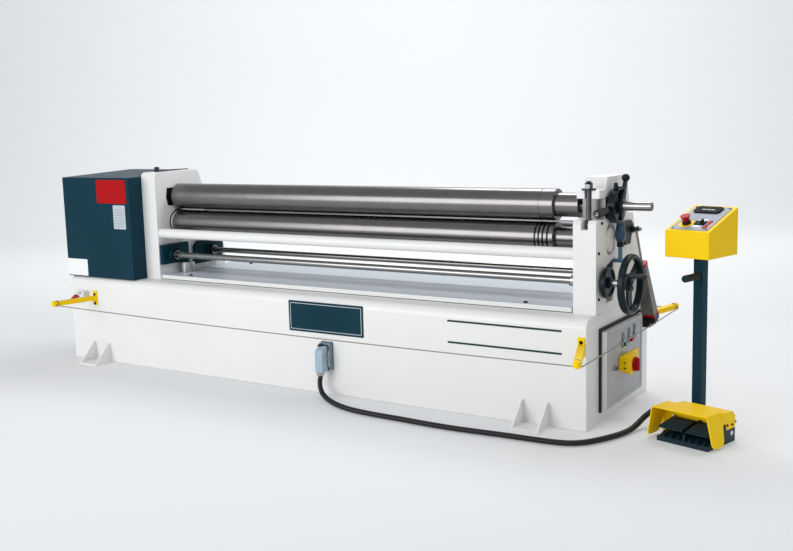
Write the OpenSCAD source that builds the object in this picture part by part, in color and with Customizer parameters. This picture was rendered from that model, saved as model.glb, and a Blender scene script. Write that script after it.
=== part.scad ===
// Three-roll plate rolling machine with a pull-wire guard, an operator's
// console and a twin foot switch. Millimetres, +X towards the hand wheel,
// +Y towards the back, +Z up, origin at the centre of the base's underside.

/* [Base] */
// Length of the base
base_l = 2920; // [2900:10:2960]
// Depth of the base
base_w = 700; // [680:10:720]
// Height of the base
base_h = 442; // [430:1:450]
// Radius of the base's long top edges
base_edge_r = 42; // [20:1:60]
// Thickness of the bed plate
bed_t = 22; // [16:1:30]

/* [Frames] */
// Thickness of a side frame
frame_t = 95; // [90:1:97]
// Inner face of the left frame, from the centre
frame_left_x = -891; // [-900:1:-880]
// Inner face of the right frame, from the centre
frame_right_x = 1363; // [1355:1:1365]
// Height of the left frame
frame_top_z = 985; // [975:1:995]
// Height of the right frame's saddle
saddle_z = 810; // [806:1:812]

/* [Rolls] */
// Diameter of the rolls
roll_d = 130; // [120:1:132]
// Length of a roll's barrel
barrel_l = 2111; // [2080:1:2120]
// Height of the top roll's axis
top_roll_z = 857; // [855:1:858]
// Gap between the top and the lower roll
roll_gap = 5; // [4:1:10]
// Diameter of the bare shaft end
shaft_end_d = 35; // [30:1:38]

/* [Drive shafts] */
// Diameter of the front adjusting shaft
front_shaft_d = 30; // [24:1:32]
// Diameter of the rear adjusting shaft
rear_shaft_d = 28; // [24:1:32]
// Outer diameter of the hand wheel
wheel_d = 236; // [220:2:250]
// Number of spokes in the hand wheel
spokes = 3; // [3:1:5]

/* [Console] */
// Width of the console box
console_w = 188; // [180:2:200]
// Depth of the console box
console_d = 209; // [200:1:220]
// Underside of the console box
console_z = 668; // [600:1:720]
// Side of the square column
column_w = 40; // [30:1:50]

/* [Guard wire] */
// Diameter of the pull wire
wire_d = 5; // [4:0.5:6]
// Height of the pull wire
wire_z = 328; // [320:1:338]
// Sag of the pull wire along the front
wire_sag = 10; // [4:1:16]

/* [Hidden] */
$fn = 64;
eps = 0.05;
arc_steps = 12;

base_x = base_l / 2;
base_y = base_w / 2;
bed_top_z = base_h + bed_t;
bed_front_y = -237;
bed_rear_y = 300;
bed_gap = 10;

frame_front_y = -250;
frame_left_out_x = frame_left_x - frame_t;
frame_right_out_x = frame_right_x + frame_t;

roll_r = roll_d / 2;
roll_y = -95;
roll_x = frame_left_x + 16;
roll_end_x = roll_x + barrel_l;
lower_roll_z = top_roll_z - roll_d - roll_gap;
rear_roll_y = 95;
rear_roll_z = 708;
rear_journal_r = 22;

bearing_r = 48;
guide_clear = 0.5;
lift_down = 15;
lift_reserve = 22;

front_shaft = [-172, 561];
rear_shaft = [108, 555];
wheel_x = 1570;
grip_r = 100;
grip_angle = 152;

bolt = [frame_right_x + frame_t / 2, -204, 788];
bolt_r = 10;
lip_top_z = 926;
block_y0 = -150;
block_y1 = -40;
block_top_z = 892;

drum_x0 = 1467;
drum_x1 = 1498;
drum_r = 67;
drum_z = 855;
stub_x = 1512;

pivot = [60, 735];
eye = [1490, 113, 744];
cylinder_tilt = 26;
// Distances from the eye to the cap, the barrel, the foot cap and its end
cylinder_at = [166, 184, 424, 438];
cylinder_w = [34, 50];

foot_x = 1243;
foot_gusset_x = 55;
anchor_y = 70;

door_x = 1466;
door_t = 24;
door_y0 = -214;
door_y1 = 200;
door_z0 = 57;
door_z1 = 372;
door_face = door_x + door_t;
button_r = 11;

arm_tips = [[-1324, -576], [1533, -620], [1500, 625], [-1324, 590]];
arm_roots = [[-1272, -base_y], [1440, -base_y], [1440, base_y], [-1272, base_y]];
arm_w = 28;
arm_h = 22;
arm_rise = 7;
arm_z = wire_z + arm_rise;
corner_r = 7;

console_at = [1802, -40, 0];
console_turn = -15;
console_front_z = 771;
console_rear_z = 851;
console_slope = atan((console_rear_z - console_front_z) / console_d);
panel_t = 3;

pedal_at = [1725, -315, 0];
pedal_turn = -14.9;
pedal_pivot = [112, 61];

// Point in the foot switch's own frame
function by_pedals(u, v, z) = pedal_at
    + [u * cos(pedal_turn) - v * sin(pedal_turn), u * sin(pedal_turn) + v * cos(pedal_turn), z];

// Centre line of the conduit from the connector to the foot switch
conduit_d = 25;
gland_u = 8;
hood_x = [208, 249];
hood_z = 113;
conduit_path = [
    [224, -401, hood_z - eps], [224, -401, 98], [219, -401, 72], [222, -405, 48], [238, -416, 28],
    [269, -437, 17],
    [318, -470, 13], [390, -512, 13], [483, -545, 13], [600, -560, 13], [741, -566, 13],
    [860, -573, 13], [981, -576, 13], [1090, -571, 13], [1193, -564, 13], [1300, -560, 13],
    [1398, -555, 13], [1465, -540, 13], [1514, -505, 13], [1548, -455, 13], [1575, -402, 13],
    [1597, -345, 13], [1612, -285, 15], [1622, -232, 25], [1635, -190, 44], [1655, -160, 62],
    [1680, -143, 74], by_pedals(gland_u - 50, 164, 79), by_pedals(gland_u - 20, 164, 80),
    by_pedals(gland_u - eps, 164, 80)
];

// ---------------------------------------------------------------- helpers

// Points of an arc about c, from angle a0 to a1
function arc(c, r, a0, a1, n = arc_steps) =
    [for (i = [0 : n]) c + r * [cos(a0 + (a1 - a0) * i / n), sin(a0 + (a1 - a0) * i / n)]];

function unit(v) = v / norm(v);

function tangent(p, i) = unit(p[min(i + 1, len(p) - 1)] - p[max(i - 1, 0)]);

// Ring of points about p[i], square to the path; up is never along the path
function ring(p, i, r, sides, up) =
    let (t = tangent(p, i), a = unit(cross(t, up)), b = cross(t, a))
    [for (k = [0 : sides - 1]) p[i] + r * (a * cos(360 * k / sides) + b * sin(360 * k / sides))];

// Round tube swept along a path of points
module swept_tube(p, r, sides, up) {
    n = len(p);
    points = [for (i = [0 : n - 1]) each ring(p, i, r, sides, up)];
    walls = [for (i = [0 : n - 2], k = [0 : sides - 1]) each
        let (a = i * sides + k, b = i * sides + (k + 1) % sides)
        [[a, b + sides, b], [a, a + sides, b + sides]]];
    first = [for (k = [0 : sides - 1]) k];
    last = [for (k = [sides - 1 : -1 : 0]) (n - 1) * sides + k];
    polyhedron(points, concat([first, last], walls), convexity = 10);
}

// Extrudes a (y, z) profile along X
module along_x(x0, length) {
    translate([x0, 0, 0])
        rotate([90, 0, 90])
            linear_extrude(height = length)
                children();
}

module rod_x(x0, x1, at, r) {
    translate([x0, at[0], at[1]])
        rotate([0, 90, 0])
            cylinder(r = r, h = x1 - x0);
}

module block(lo, hi) {
    translate(lo)
        cube(hi - lo);
}

// Slot with round ends, seen along X, between two centre heights
module slot_x(x0, length, y, z0, z1, r) {
    along_x(x0, length)
        polygon(concat(arc([y, z1], r, 0, 180), arc([y, z0], r, 180, 360)));
}

// ------------------------------------------------------- base and frames

module base() {
    r = base_edge_r;
    color("whitesmoke")
        along_x(-base_x, base_l)
            polygon(concat(
                [[-base_y, 0], [base_y, 0]],
                arc([base_y - r, base_h - r], r, 0, 90),
                arc([r - base_y, base_h - r], r, 90, 180)));
}

module bed_plate() {
    x1 = frame_right_x - bed_gap;
    color("whitesmoke")
        translate([0, 0, base_h])
            linear_extrude(height = bed_t)
                polygon(concat(
                    [[frame_left_x, bed_rear_y], [frame_left_x, bed_front_y]],
                    arc([x1 - bed_gap, bed_front_y + bed_gap], bed_gap, -90, 0),
                    [[x1, bed_rear_y]]));
}

module foot_bracket() {
    plate = [130, 110, 8];
    gusset_h = 100;
    hole_r = 9;
    difference() {
        block([-plate.x / 2, -plate.y, 0], [plate.x / 2, 0, plate.z]);
        translate([0, -anchor_y, -1])
            cylinder(r = hole_r, h = plate.z + 2);
    }
    for (side = [-1, 1])
        along_x(side * foot_gusset_x - plate.z / 2, plate.z)
            polygon([[0, plate.z], [0, gusset_h], [-12, gusset_h], [8 - plate.y, plate.z]]);
}

module foot_brackets() {
    color("whitesmoke")
        for (sx = [-1, 1], sy = [0, 1])
            mirror([0, sy, 0])
                translate([sx * foot_x, -base_y, 0])
                    foot_bracket();
}

module gear_housing() {
    x0 = -1480;
    rear_y = 147;
    front_z = 963;
    rear_z = 981;
    color("darkslategray")
        along_x(x0, frame_left_out_x - x0)
            polygon([[-340, base_h], [rear_y, base_h], [rear_y, rear_z], [-340, front_z]]);
}

module left_side_frame() {
    corner = 25;
    journal_r = 45.05;
    recess = [83, 74, 71];
    recess_h = [46, -45];
    recess_t = 14;
    color("whitesmoke")
        difference() {
            along_x(frame_left_out_x, frame_t)
                polygon(concat(
                    [[frame_front_y, base_h], [240, base_h], [240, 560], [60, frame_top_z]],
                    arc([frame_front_y + corner, frame_top_z - corner], corner, 90, 180)));
            rod_x(frame_left_out_x - 1, frame_left_x + 1, [roll_y, top_roll_z], journal_r);
            along_x(frame_left_x - recess_t, recess_t + 1)
                translate([roll_y, top_roll_z])
                    polygon([[-recess[0], 0], [-recess[1], recess_h[0]], [recess[1], recess_h[0]],
                        [recess[0], 0], [recess[2], recess_h[1]], [-recess[2], recess_h[1]]]);
            slot_x(frame_left_out_x - 1, frame_t + 2, roll_y, lower_roll_z - lift_down,
                lower_roll_z + lift_reserve, bearing_r + guide_clear);
            rod_x(frame_left_out_x - 1, frame_left_x + 1, front_shaft, front_shaft_d / 2 + eps);
            rod_x(frame_left_out_x - 1, frame_left_x + 1, rear_shaft, rear_shaft_d / 2 + eps);
            rod_x(frame_left_x - 40, frame_left_x + 1, [rear_roll_y, rear_roll_z],
                rear_journal_r + 2 * eps);
        }
}

module right_side_frame() {
    fork_w = 49;
    fork_x = frame_right_x + frame_t / 2;
    slot_w = 29;
    color("whitesmoke")
        difference() {
            along_x(frame_right_x, frame_t)
                polygon([[frame_front_y, base_h], [260, base_h], [260, 583], [182, 763],
                    [160, saddle_z], [frame_front_y + 10, saddle_z], [frame_front_y, saddle_z - 12]]);
            slot_x(frame_right_x - 1, frame_t + 2, roll_y, lower_roll_z - lift_down,
                lower_roll_z + lift_reserve, bearing_r + guide_clear);
            rod_x(frame_right_x - 1, frame_right_out_x + 1, front_shaft, front_shaft_d / 2 + eps);
            rod_x(frame_right_x - 1, frame_right_x + 80, rear_shaft, rear_shaft_d / 2 + eps);
            rod_x(frame_right_x - 1, frame_right_x + 21, [rear_roll_y, rear_roll_z],
                rear_journal_r + 2 * eps);
            // pocket of the swing bolt, open to the front and the top
            block([bolt.x - slot_w / 2, frame_front_y - 1, bolt.z - 14],
                [bolt.x + slot_w / 2, bolt.y + 18, saddle_z + 1]);
            rod_x(bolt.x - 35, bolt.x + 35, [bolt.y, bolt.z], 5 + eps);
            // fork for the yoke's tongue
            block([fork_x - fork_w / 2, 5, pivot.y - 60], [fork_x + fork_w / 2, 300, saddle_z + 1]);
            rod_x(frame_right_x - 1, frame_right_out_x + 1, pivot, 18 + eps);
            // access window to the lower roll's adjuster
            along_x(frame_right_out_x - 30, 31)
                polygon([[-141, 472], [-65, 472], [-65, 642], [-141, 622]]);
        }
}

module front_tie_bar() {
    color("whitesmoke")
        rod_x(frame_left_x, frame_right_x, [-222, 676], 24);
}

module gear_plates() {
    t = 22;
    flange = 24;
    color("darkslategray") {
        difference() {
            union() {
                block([frame_left_x, -245, 516], [frame_left_x + t, -56, 616]);
                rod_x(frame_left_x + t - 1, frame_left_x + t + flange, front_shaft, 35);
            }
            rod_x(frame_left_x - 1, frame_left_x + t + flange + 1, front_shaft, front_shaft_d / 2 + 1);
        }
        difference() {
            union() {
                along_x(frame_left_x, t)
                    polygon([[-10, 491], [180, 491], [207, 530], [207, 607], [20, 607], [-10, 580]]);
                rod_x(frame_left_x + t - 1, frame_left_x + t + flange, rear_shaft, 35);
            }
            rod_x(frame_left_x - 1, frame_left_x + t + flange + 1, rear_shaft, rear_shaft_d / 2 + 1);
        }
    }
}

module jack_post() {
    color("lightgray")
        translate([frame_left_x + 42, roll_y, bed_top_z])
            cylinder(r = 38, h = 516 - bed_top_z);
}

module frame_stud() {
    x = frame_left_x - frame_t / 2;
    y = -184;
    color("silver")
        union() {
            translate([x, y, frame_top_z])
                cylinder(r = 8, h = 26);
            for (z = [0, 13])
                translate([x, y, frame_top_z + z])
                    cylinder(r = 14, h = 11, $fn = 6);
            translate([x, y + 8, frame_top_z + 5])
                rotate([-90, 0, 0])
                    cylinder(r1 = 5, r2 = 2.5, h = 215);
        }
}

// ------------------------------------------------------------------ rolls

// Turned roll: a list of [x, radius] steps, from left to right
module turned(at, steps) {
    n = len(steps);
    profile = concat(
        [[0, steps[0][0]]],
        [for (i = [0 : n - 1]) [steps[i][1], steps[i][0]]],
        [[0, steps[n - 1][0]]]);
    translate([0, at[0], at[1]])
        rotate([0, 90, 0])
            rotate_extrude()
                polygon(profile);
}

module top_roll() {
    groove_x = roll_x + 2050;
    journal_r = 49;
    neck_x = roll_end_x + 92;
    color("silver")
        turned([roll_y, top_roll_z], [
            [frame_left_out_x + 2, 45], [roll_x, 45], [roll_x, roll_r - 2], [roll_x + 2, roll_r],
            [groove_x - 1.5, roll_r], [groove_x - 1.5, roll_r - 1.5], [groove_x + 1.5, roll_r - 1.5],
            [groove_x + 1.5, roll_r], [roll_end_x - 2, roll_r], [roll_end_x, roll_r - 2],
            [roll_end_x, journal_r], [neck_x, journal_r], [neck_x, journal_r + 3],
            [neck_x + 11, journal_r + 3], [neck_x + 11, 30], [drum_x0 - 2, 30],
            [drum_x0 - 2, shaft_end_d / 2 + 2], [stub_x, shaft_end_d / 2 + 2],
            [stub_x, shaft_end_d / 2], [stub_x + 112, shaft_end_d / 2],
            [stub_x + 115, shaft_end_d / 2 - 3]]);
}

module lower_roll() {
    wire_grooves = [1157, 1174, 1192, 1212];
    groove_half = 4;
    depth = 5;
    grooves = [for (x = wire_grooves) each [
        [x - groove_half, roll_r], [x - groove_half, roll_r - depth],
        [x + groove_half, roll_r - depth], [x + groove_half, roll_r]]];
    color("silver")
        turned([roll_y, lower_roll_z], concat(
            [[frame_left_out_x + 2, 40], [roll_x - 8, 40], [roll_x - 8, 45], [roll_x, 45],
                [roll_x, roll_r - 2], [roll_x + 2, roll_r]],
            grooves,
            [[roll_end_x - 2, roll_r], [roll_end_x, roll_r - 2], [roll_end_x, 45],
                [frame_right_x - 2, 45], [frame_right_x - 2, 40], [frame_right_out_x - 8, 40]]));
}

module rear_roll() {
    color("silver")
        turned([rear_roll_y, rear_roll_z], [
            [frame_left_x - 38, rear_journal_r], [roll_x, rear_journal_r], [roll_x, roll_r - 2],
            [roll_x + 2, roll_r], [roll_end_x - 2, roll_r], [roll_end_x, roll_r - 2],
            [roll_end_x, 32], [frame_right_x - 2, 32], [frame_right_x - 2, rear_journal_r],
            [frame_right_x + 19, rear_journal_r]]);
}

module lower_bearings() {
    at = [roll_y, lower_roll_z];
    color("whitesmoke") {
        difference() {
            rod_x(frame_left_out_x + 1, frame_left_x - 1, at, bearing_r);
            rod_x(frame_left_out_x, frame_left_x, at, 40 + eps);
        }
        difference() {
            union() {
                rod_x(frame_right_x + 1, frame_right_out_x - 1, at, bearing_r);
                rod_x(frame_right_out_x - 2, frame_right_out_x + 3, at, 40);
            }
            rod_x(frame_right_x, frame_right_out_x - 6, at, 40 + eps);
        }
    }
}

// ----------------------------------------------------------- drive shafts

module shaft_bushes() {
    color("darkgoldenrod")
        for (s = [[front_shaft, front_shaft_d], [rear_shaft, rear_shaft_d]])
            difference() {
                rod_x(frame_right_x - 26, frame_right_x, s[0], s[1] / 2 + 7);
                rod_x(frame_right_x - 27, frame_right_x + 1, s[0], s[1] / 2 + eps);
            }
}

module front_shaft_bar() {
    color("silver")
        rod_x(frame_left_out_x + 10, wheel_x + 15, front_shaft, front_shaft_d / 2);
}

module rear_shaft_bar() {
    color("silver")
        rod_x(frame_left_out_x + 10, frame_right_x + 75, rear_shaft, rear_shaft_d / 2);
}

module dial_wheel() {
    dial_r = 62;
    hub_r = 22;
    color("darkslategray")
        difference() {
            union() {
                difference() {
                    rod_x(frame_right_out_x + 10, frame_right_out_x + 28, front_shaft, dial_r);
                    rod_x(frame_right_out_x + 22, frame_right_out_x + 29, front_shaft, dial_r - 9);
                }
                rod_x(frame_right_out_x + 4, frame_right_out_x + 34, front_shaft, hub_r);
            }
            rod_x(frame_right_out_x, frame_right_out_x + 35, front_shaft, front_shaft_d / 2);
        }
}

module hand_wheel() {
    rim_r = 9;
    rim_half = 6;
    spoke_w = 38;
    spoke_x = [-14, -2];
    hub_r = 26;
    rim_at = wheel_d / 2 - rim_r;
    color("darkslategray")
        difference() {
            union() {
                translate([wheel_x, front_shaft[0], front_shaft[1]])
                    rotate([0, 90, 0])
                        rotate_extrude() {
                            for (side = [-1, 1])
                                translate([rim_at, side * rim_half])
                                    circle(r = rim_r);
                            translate([rim_at - rim_r, -rim_half])
                                square([2 * rim_r, 2 * rim_half]);
                        }
                rod_x(wheel_x - 42, wheel_x + 8, front_shaft, hub_r);
                for (i = [0 : spokes - 1])
                    translate([wheel_x, front_shaft[0], front_shaft[1]])
                        rotate([grip_angle + i * 360 / spokes, 0, 0])
                            translate([spoke_x[0], hub_r / 2, -spoke_w / 2])
                                cube([spoke_x[1] - spoke_x[0], rim_at - hub_r / 2, spoke_w]);
            }
            rod_x(wheel_x - 43, wheel_x + 16, front_shaft, front_shaft_d / 2);
            translate([0, front_shaft[0], front_shaft[1]])
                rotate([grip_angle, 0, 0])
                    rod_x(wheel_x - 20, wheel_x + 20, [grip_r, 0], 4 + eps);
        }
}

module crank_grip() {
    color("black")
        translate([0, front_shaft[0], front_shaft[1]])
            rotate([grip_angle, 0, 0])
                turned([grip_r, 0], [
                    [wheel_x - 12, 4], [wheel_x + 16, 4], [wheel_x + 16, 8], [wheel_x + 22, 9.5],
                    [wheel_x + 88, 9], [wheel_x + 94, 6]]);
}

// --------------------------------------------------------------- drop end

module drop_end_yoke() {
    tongue_w = 45;
    mid_x = frame_right_x + frame_t / 2;
    slot_r = bolt_r + 4;
    color("whitesmoke")
        difference() {
            union() {
                along_x(frame_right_x, frame_t)
                    polygon([[-213, block_top_z], [-213, lip_top_z], [-155, lip_top_z],
                        [-146, 930], [-125, 973], [45, 973], [84, 958], [100, 936], [120, 862],
                        [139, 815], [-32, 815], [-32, block_top_z]]);
                along_x(mid_x - tongue_w / 2, tongue_w)
                    polygon(concat([[115, 816], [8, 816]], arc(pivot, 50, 180, 360)));
            }
            translate([bolt.x, bolt.y, 0])
                block([-slot_r, -30, block_top_z - 1], [slot_r, slot_r, 1000]);
            rod_x(frame_right_x, frame_right_out_x, pivot, 18 + eps);
            rod_x(frame_right_x - 1, frame_right_out_x + 1, [roll_y, top_roll_z], 40);
        }
}

module top_bearing() {
    color("tan")
        difference() {
            block([frame_right_x, block_y0, saddle_z], [frame_right_out_x, block_y1, block_top_z]);
            rod_x(frame_right_x - 1, frame_right_out_x + 1, [roll_y, top_roll_z], 30 + eps);
        }
}

module swing_bolt() {
    washer = [29, 5];
    washer_z = lip_top_z + 1;
    color("dimgray")
        union() {
            translate(bolt)
                cylinder(r = bolt_r, h = washer_z + 34 - bolt.z);
            rod_x(bolt.x - 11, bolt.x + 11, [bolt.y, bolt.z], bolt_r + 1);
            rod_x(bolt.x - 33, bolt.x + 33, [bolt.y, bolt.z], 5);
            translate([bolt.x, bolt.y, washer_z])
                cylinder(r = washer[0], h = washer[1]);
            translate([bolt.x, bolt.y, washer_z + washer[1]])
                cylinder(r = 18, h = 20, $fn = 6);
        }
}

module hub_drum() {
    at = [roll_y, drum_z];
    bore_r = 22;
    window_t = 16;
    color("black")
        difference() {
            union() {
                rod_x(drum_x0, drum_x1, at, drum_r);
                rod_x(frame_right_out_x, drum_x0 + 1, at, 42);
            }
            rod_x(frame_right_out_x - 1, drum_x0 + 2, [roll_y, top_roll_z], 33);
            rod_x(drum_x0, drum_x1 + 1, [roll_y, top_roll_z], bore_r);
            for (i = [0 : 3])
                translate([drum_x1 - window_t, at[0], at[1]])
                    rotate([90 * i, 0, 0])
                        along_x(0, window_t + 1)
                            polygon([[30, -12], [30, 12], [54, 24], [54, -24]]);
        }
}

module hub_lever() {
    x0 = drum_x1;
    t = 12;
    knob = [drum_x1 + 6, -52, 965];
    tip = [knob.y, knob.z];
    color("black")
        union() {
            difference() {
                union() {
                    rod_x(x0, x0 + t, [roll_y, drum_z], 30);
                    along_x(x0, t)
                        polygon([[roll_y - 14, drum_z + 20], [roll_y + 22, drum_z + 14],
                            [tip[0] + 8, tip[1] - 8], [tip[0] - 8, tip[1] - 5]]);
                }
                rod_x(x0 - 1, x0 + t + 1, [roll_y, top_roll_z], 22);
            }
            translate(knob)
                sphere(r = 16);
            // index plunger above the drum's rim, and the bar that carries it
            translate([drum_x0 + 16, -105, drum_z + drum_r + 0.5])
                cylinder(r1 = 11, r2 = 7, h = 26);
            block([drum_x0 + 12, -105, drum_z + drum_r + 2], [x0 + t, -66, drum_z + drum_r + 10]);
        }
}

module link_arm() {
    y0 = -186;
    head = [1437, 832];
    tail = [1480, 850];
    color("black")
        difference() {
            union() {
                translate([head[0], block_y0, head[1]])
                    rotate([90, 0, 0])
                        cylinder(r = 16, h = block_y0 - y0);
                translate([0, y0 + 20, 0])
                    rotate([90, 0, 0])
                        linear_extrude(height = 20)
                            polygon([[head[0] - 6, head[1] + 15], [tail[0], tail[1] + 12],
                                [tail[0] + 8, tail[1] - 8], [head[0] + 6, head[1] - 15]]);
                block([tail[0] - 10, y0 + 10, tail[1] - 9], [tail[0] + 7, -150, tail[1] + 9]);
            }
            rod_x(drum_x0 - 20, drum_x1 + 1, [roll_y, drum_z], drum_r + 2 * eps);
            translate([head[0], y0 + 8, head[1]])
                rotate([90, 0, 0])
                    cylinder(r = 6, h = 9, $fn = 6);
        }
}

module release_handle() {
    x = drum_x0 + 17;
    y = -55;
    color("steelblue")
        difference() {
            union() {
                translate([x, y, 0])
                    rotate_extrude()
                        polygon([[0, 640], [8, 640], [8, 690], [13, 692], [13, 710], [17, 716],
                            [21, 730], [21, 748], [17, 770], [15, 786], [9, 786], [9, 810], [0, 810]]);
                block([frame_right_out_x, y - 12, 628], [x + 12, y + 12, 641]);
            }
            rod_x(frame_right_out_x - 1, drum_x1 + 1, [roll_y, drum_z], drum_r + 2 * eps);
        }
}

module yoke_crank() {
    x0 = frame_right_out_x;
    color("black")
        union() {
            rod_x(frame_right_x + 2, x0 + 3, pivot, 18);
            along_x(x0 + 2, 14)
                polygon([[14, 783], [100, 783], [130, 762], [132, 735], [104, 716], [95, 685],
                    [32, 685], [14, 725]]);
            rod_x(x0 + 15, x0 + 22, [eye.y, eye.z], 15);
            rod_x(x0 + 15, eye.x + 15, [eye.y, eye.z], 8);
        }
}

// Puts a piece made down -Z from the rod's eye in line with the cylinder
module on_cylinder() {
    translate(eye)
        rotate([cylinder_tilt, 0, 0])
            children();
}

module cylinder_rod() {
    rod_r = 5;
    eye_r = 15;
    color("silver")
        on_cylinder()
            difference() {
                union() {
                    rotate([0, 90, 0])
                        cylinder(r = eye_r, h = 16, center = true);
                    translate([0, 0, -cylinder_at[0] - 8])
                        cylinder(r = rod_r, h = cylinder_at[0]);
                }
                rotate([0, 90, 0])
                    cylinder(r = 8 + eps, h = 20, center = true);
            }
}

module cylinder_slab(z_top, z_bottom, w) {
    translate([-w / 2, -w / 2, -z_bottom])
        cube([w, w, z_bottom - z_top]);
}

// Square barrel, wider at the foot
module cylinder_barrel() {
    side = [[-cylinder_w[1] / 2, -cylinder_at[2]], [cylinder_w[1] / 2, -cylinder_at[2]],
        [cylinder_w[0] / 2, -cylinder_at[1]], [-cylinder_w[0] / 2, -cylinder_at[1]]];
    color("gray")
        on_cylinder()
            intersection() {
                rotate([90, 0, 0])
                    linear_extrude(height = cylinder_w[1], center = true)
                        polygon(side);
                rotate([90, 0, 90])
                    linear_extrude(height = cylinder_w[1], center = true)
                        polygon(side);
            }
}

module cylinder_caps() {
    color("firebrick")
        on_cylinder() {
            difference() {
                cylinder_slab(cylinder_at[0], cylinder_at[1] - eps, cylinder_w[0] + 2);
                translate([0, 0, -cylinder_at[0] - 10])
                    cylinder(r = 5 + eps, h = 20);
            }
            cylinder_slab(cylinder_at[2] + eps, cylinder_at[3], cylinder_w[1]);
        }
}

module cylinder_bracket() {
    foot_t = 30;
    foot_y = [268, 330];
    color("black")
        union() {
            on_cylinder()
                cylinder_slab(cylinder_at[3] + eps, cylinder_at[3] + foot_t, cylinder_w[1] + 4);
            block([base_x, foot_y[0], 300], [eye.x + 8, foot_y[1], 336]);
        }
}

// ----------------------------------------------------- electrical cabinet

module door_seal() {
    gap = 12;
    color("black")
        union() {
            block([base_x, door_y0 - gap, door_z0 - gap], [door_x + 4, door_y0, door_z1 + gap]);
            block([base_x, door_y0 - 1, door_z1], [door_x + 4, 240, door_z1 + gap]);
            block([base_x, door_y0 - 1, door_z0], [door_x, door_y1 - 1, door_z1 + 1]);
        }
}

module cabinet_door() {
    rim = 18;
    color("gainsboro")
        difference() {
            block([door_x, door_y0, door_z0], [door_face, door_y1, door_z1]);
            block([door_face - 2, door_y0 + rim, door_z0 + rim],
                [door_face + 1, door_y1 - rim, door_z1 - rim]);
        }
}

button_y = [-31, 40, 105];
button_z = [290, 296, 301];
panel_face = door_face - 2;

module door_fittings() {
    lamp = 2;
    color("silver") {
        for (i = [0 : lamp]) {
            difference() {
                rod_x(panel_face, panel_face + 8, [button_y[i], button_z[i]], button_r + 4);
                rod_x(panel_face - 1, panel_face + 9, [button_y[i], button_z[i]], button_r);
            }
            block([panel_face, button_y[i] - 12, button_z[i] + 18],
                [panel_face + 3, button_y[i] + 12, button_z[i] + 44]);
        }
        rod_x(panel_face, panel_face + 16, [button_y[lamp], button_z[lamp]], button_r - 1);
        rod_x(panel_face, panel_face + 12, [-127, 209], 11);
    }
}

module push_button(i) {
    rod_x(panel_face + 5, panel_face + 17, [button_y[i], button_z[i]], button_r - 1);
}

module start_button() {
    color("green")
        push_button(0);
}

module stop_button() {
    color("red")
        push_button(1);
}

switch_axis = [-22, 208];
switch_face = 1546;

module main_switch_box() {
    color("gold")
        union() {
            block([panel_face, -62, 164], [panel_face + 6, 58, 262]);
            along_x(panel_face + 5, switch_face - panel_face - 5)
                polygon(concat([[-62, 164], [18, 164]], arc([6, 238], 12, 0, 90, 6),
                    arc([-50, 238], 12, 90, 180, 6)));
        }
}

module main_switch_knob() {
    color("crimson")
        union() {
            rod_x(switch_face + 2, switch_face + 8, switch_axis, 30);
            along_x(switch_face + 7, 20)
                translate(switch_axis)
                    polygon(concat(arc([0, 18], 9, 0, 180, 6), arc([0, -18], 9, 180, 360, 6)));
        }
}

// -------------------------------------------------------- pull-wire guard

// Folded channel from a plate on the base out to a tip that the wire turns in
module wire_arm(root, tip) {
    reach = norm(tip - root);
    wall = 3;
    plate = [28, 6, 74];
    eye = [-12, 3];
    out = sign(root[1]);
    turn = atan2(tip[1] - root[1], tip[0] - root[0]);
    difference() {
        union() {
            translate([root[0], root[1], arm_z - arm_h / 2])
                rotate([0, 0, turn])
                    linear_extrude(height = arm_h)
                        channel_outline(-12, reach, arm_w / 2);
            translate([root[0] - plate.x / 2, root[1] - plate.y, arm_z - plate.z / 2])
                cube([plate.x, 2 * plate.y, plate.z]);
        }
        translate([root[0], root[1], arm_z - arm_h / 2 - 1])
            rotate([0, 0, turn])
                linear_extrude(height = arm_h - wall + 1)
                    channel_outline(12, reach, arm_w / 2 - wall);
        translate([tip[0], tip[1], wire_z - wire_d])
            rotate([0, 0, turn])
                block([eye[0], -arm_w, 0], [eye[1], arm_w, 2 * wire_d]);
        block([root[0] - 50, min(root[1], root[1] - 50 * out), 0],
            [root[0] + 50, max(root[1], root[1] - 50 * out), base_h]);
    }
}

// Strip from x0 to a round end about x1
module channel_outline(x0, x1, half) {
    polygon(concat([[x0, half], [x0, -half]], arc([x1, 0], half, -90, 90)));
}

module wire_arms() {
    color("gold")
        for (i = [0 : 3])
            wire_arm(arm_roots[i], arm_tips[i]);
}

// Run of the wire between two corners, hanging by sag at its middle
function wire_run(a, b, sag, n) = [for (i = [0 : n])
    let (s = i / n) [a[0] + (b[0] - a[0]) * s, a[1] + (b[1] - a[1]) * s, wire_z - 4 * sag * s * (1 - s)]];

module pull_wire() {
    front = wire_run(arm_tips[0] + [12, 2], arm_tips[1] + [-12, 2], wire_sag, 8);
    right = wire_run(arm_tips[1] + [16, 8], arm_tips[2] + [16, -8], 3, 4);
    rear = wire_run(arm_tips[2] + [-12, -2], arm_tips[3] + [12, -2], wire_sag, 8);
    color("dimgray")
        swept_tube(concat(front, right, rear), wire_d / 2, 8, [0, 0, 1]);
}

module pull_switch() {
    color("firebrick")
        block([-1436, -390, 318], [-1372, -base_y, 350]);
}

// ---------------------------------------------------- supply to the pedal

module connector_housing() {
    color("lightgray")
        block([hood_x[0] - 8, -base_y - 24, 119], [hood_x[1] + 10, -base_y, 240]);
}

module connector_hood() {
    front = -420;
    color("lightsteelblue")
        along_x(hood_x[0], hood_x[1] - hood_x[0])
            polygon([[front, hood_z], [-base_y - 24, hood_z], [-base_y - 24, 228], [-392, 228],
                [front + 6, 214], [front, 204]]);
}

module conduit() {
    color("black")
        swept_tube(conduit_path, conduit_d / 2, 10, [1, -1, 1]);
}

// ---------------------------------------------------------------- console

module at_console() {
    translate(console_at)
        rotate([0, 0, console_turn])
            children();
}

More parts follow.
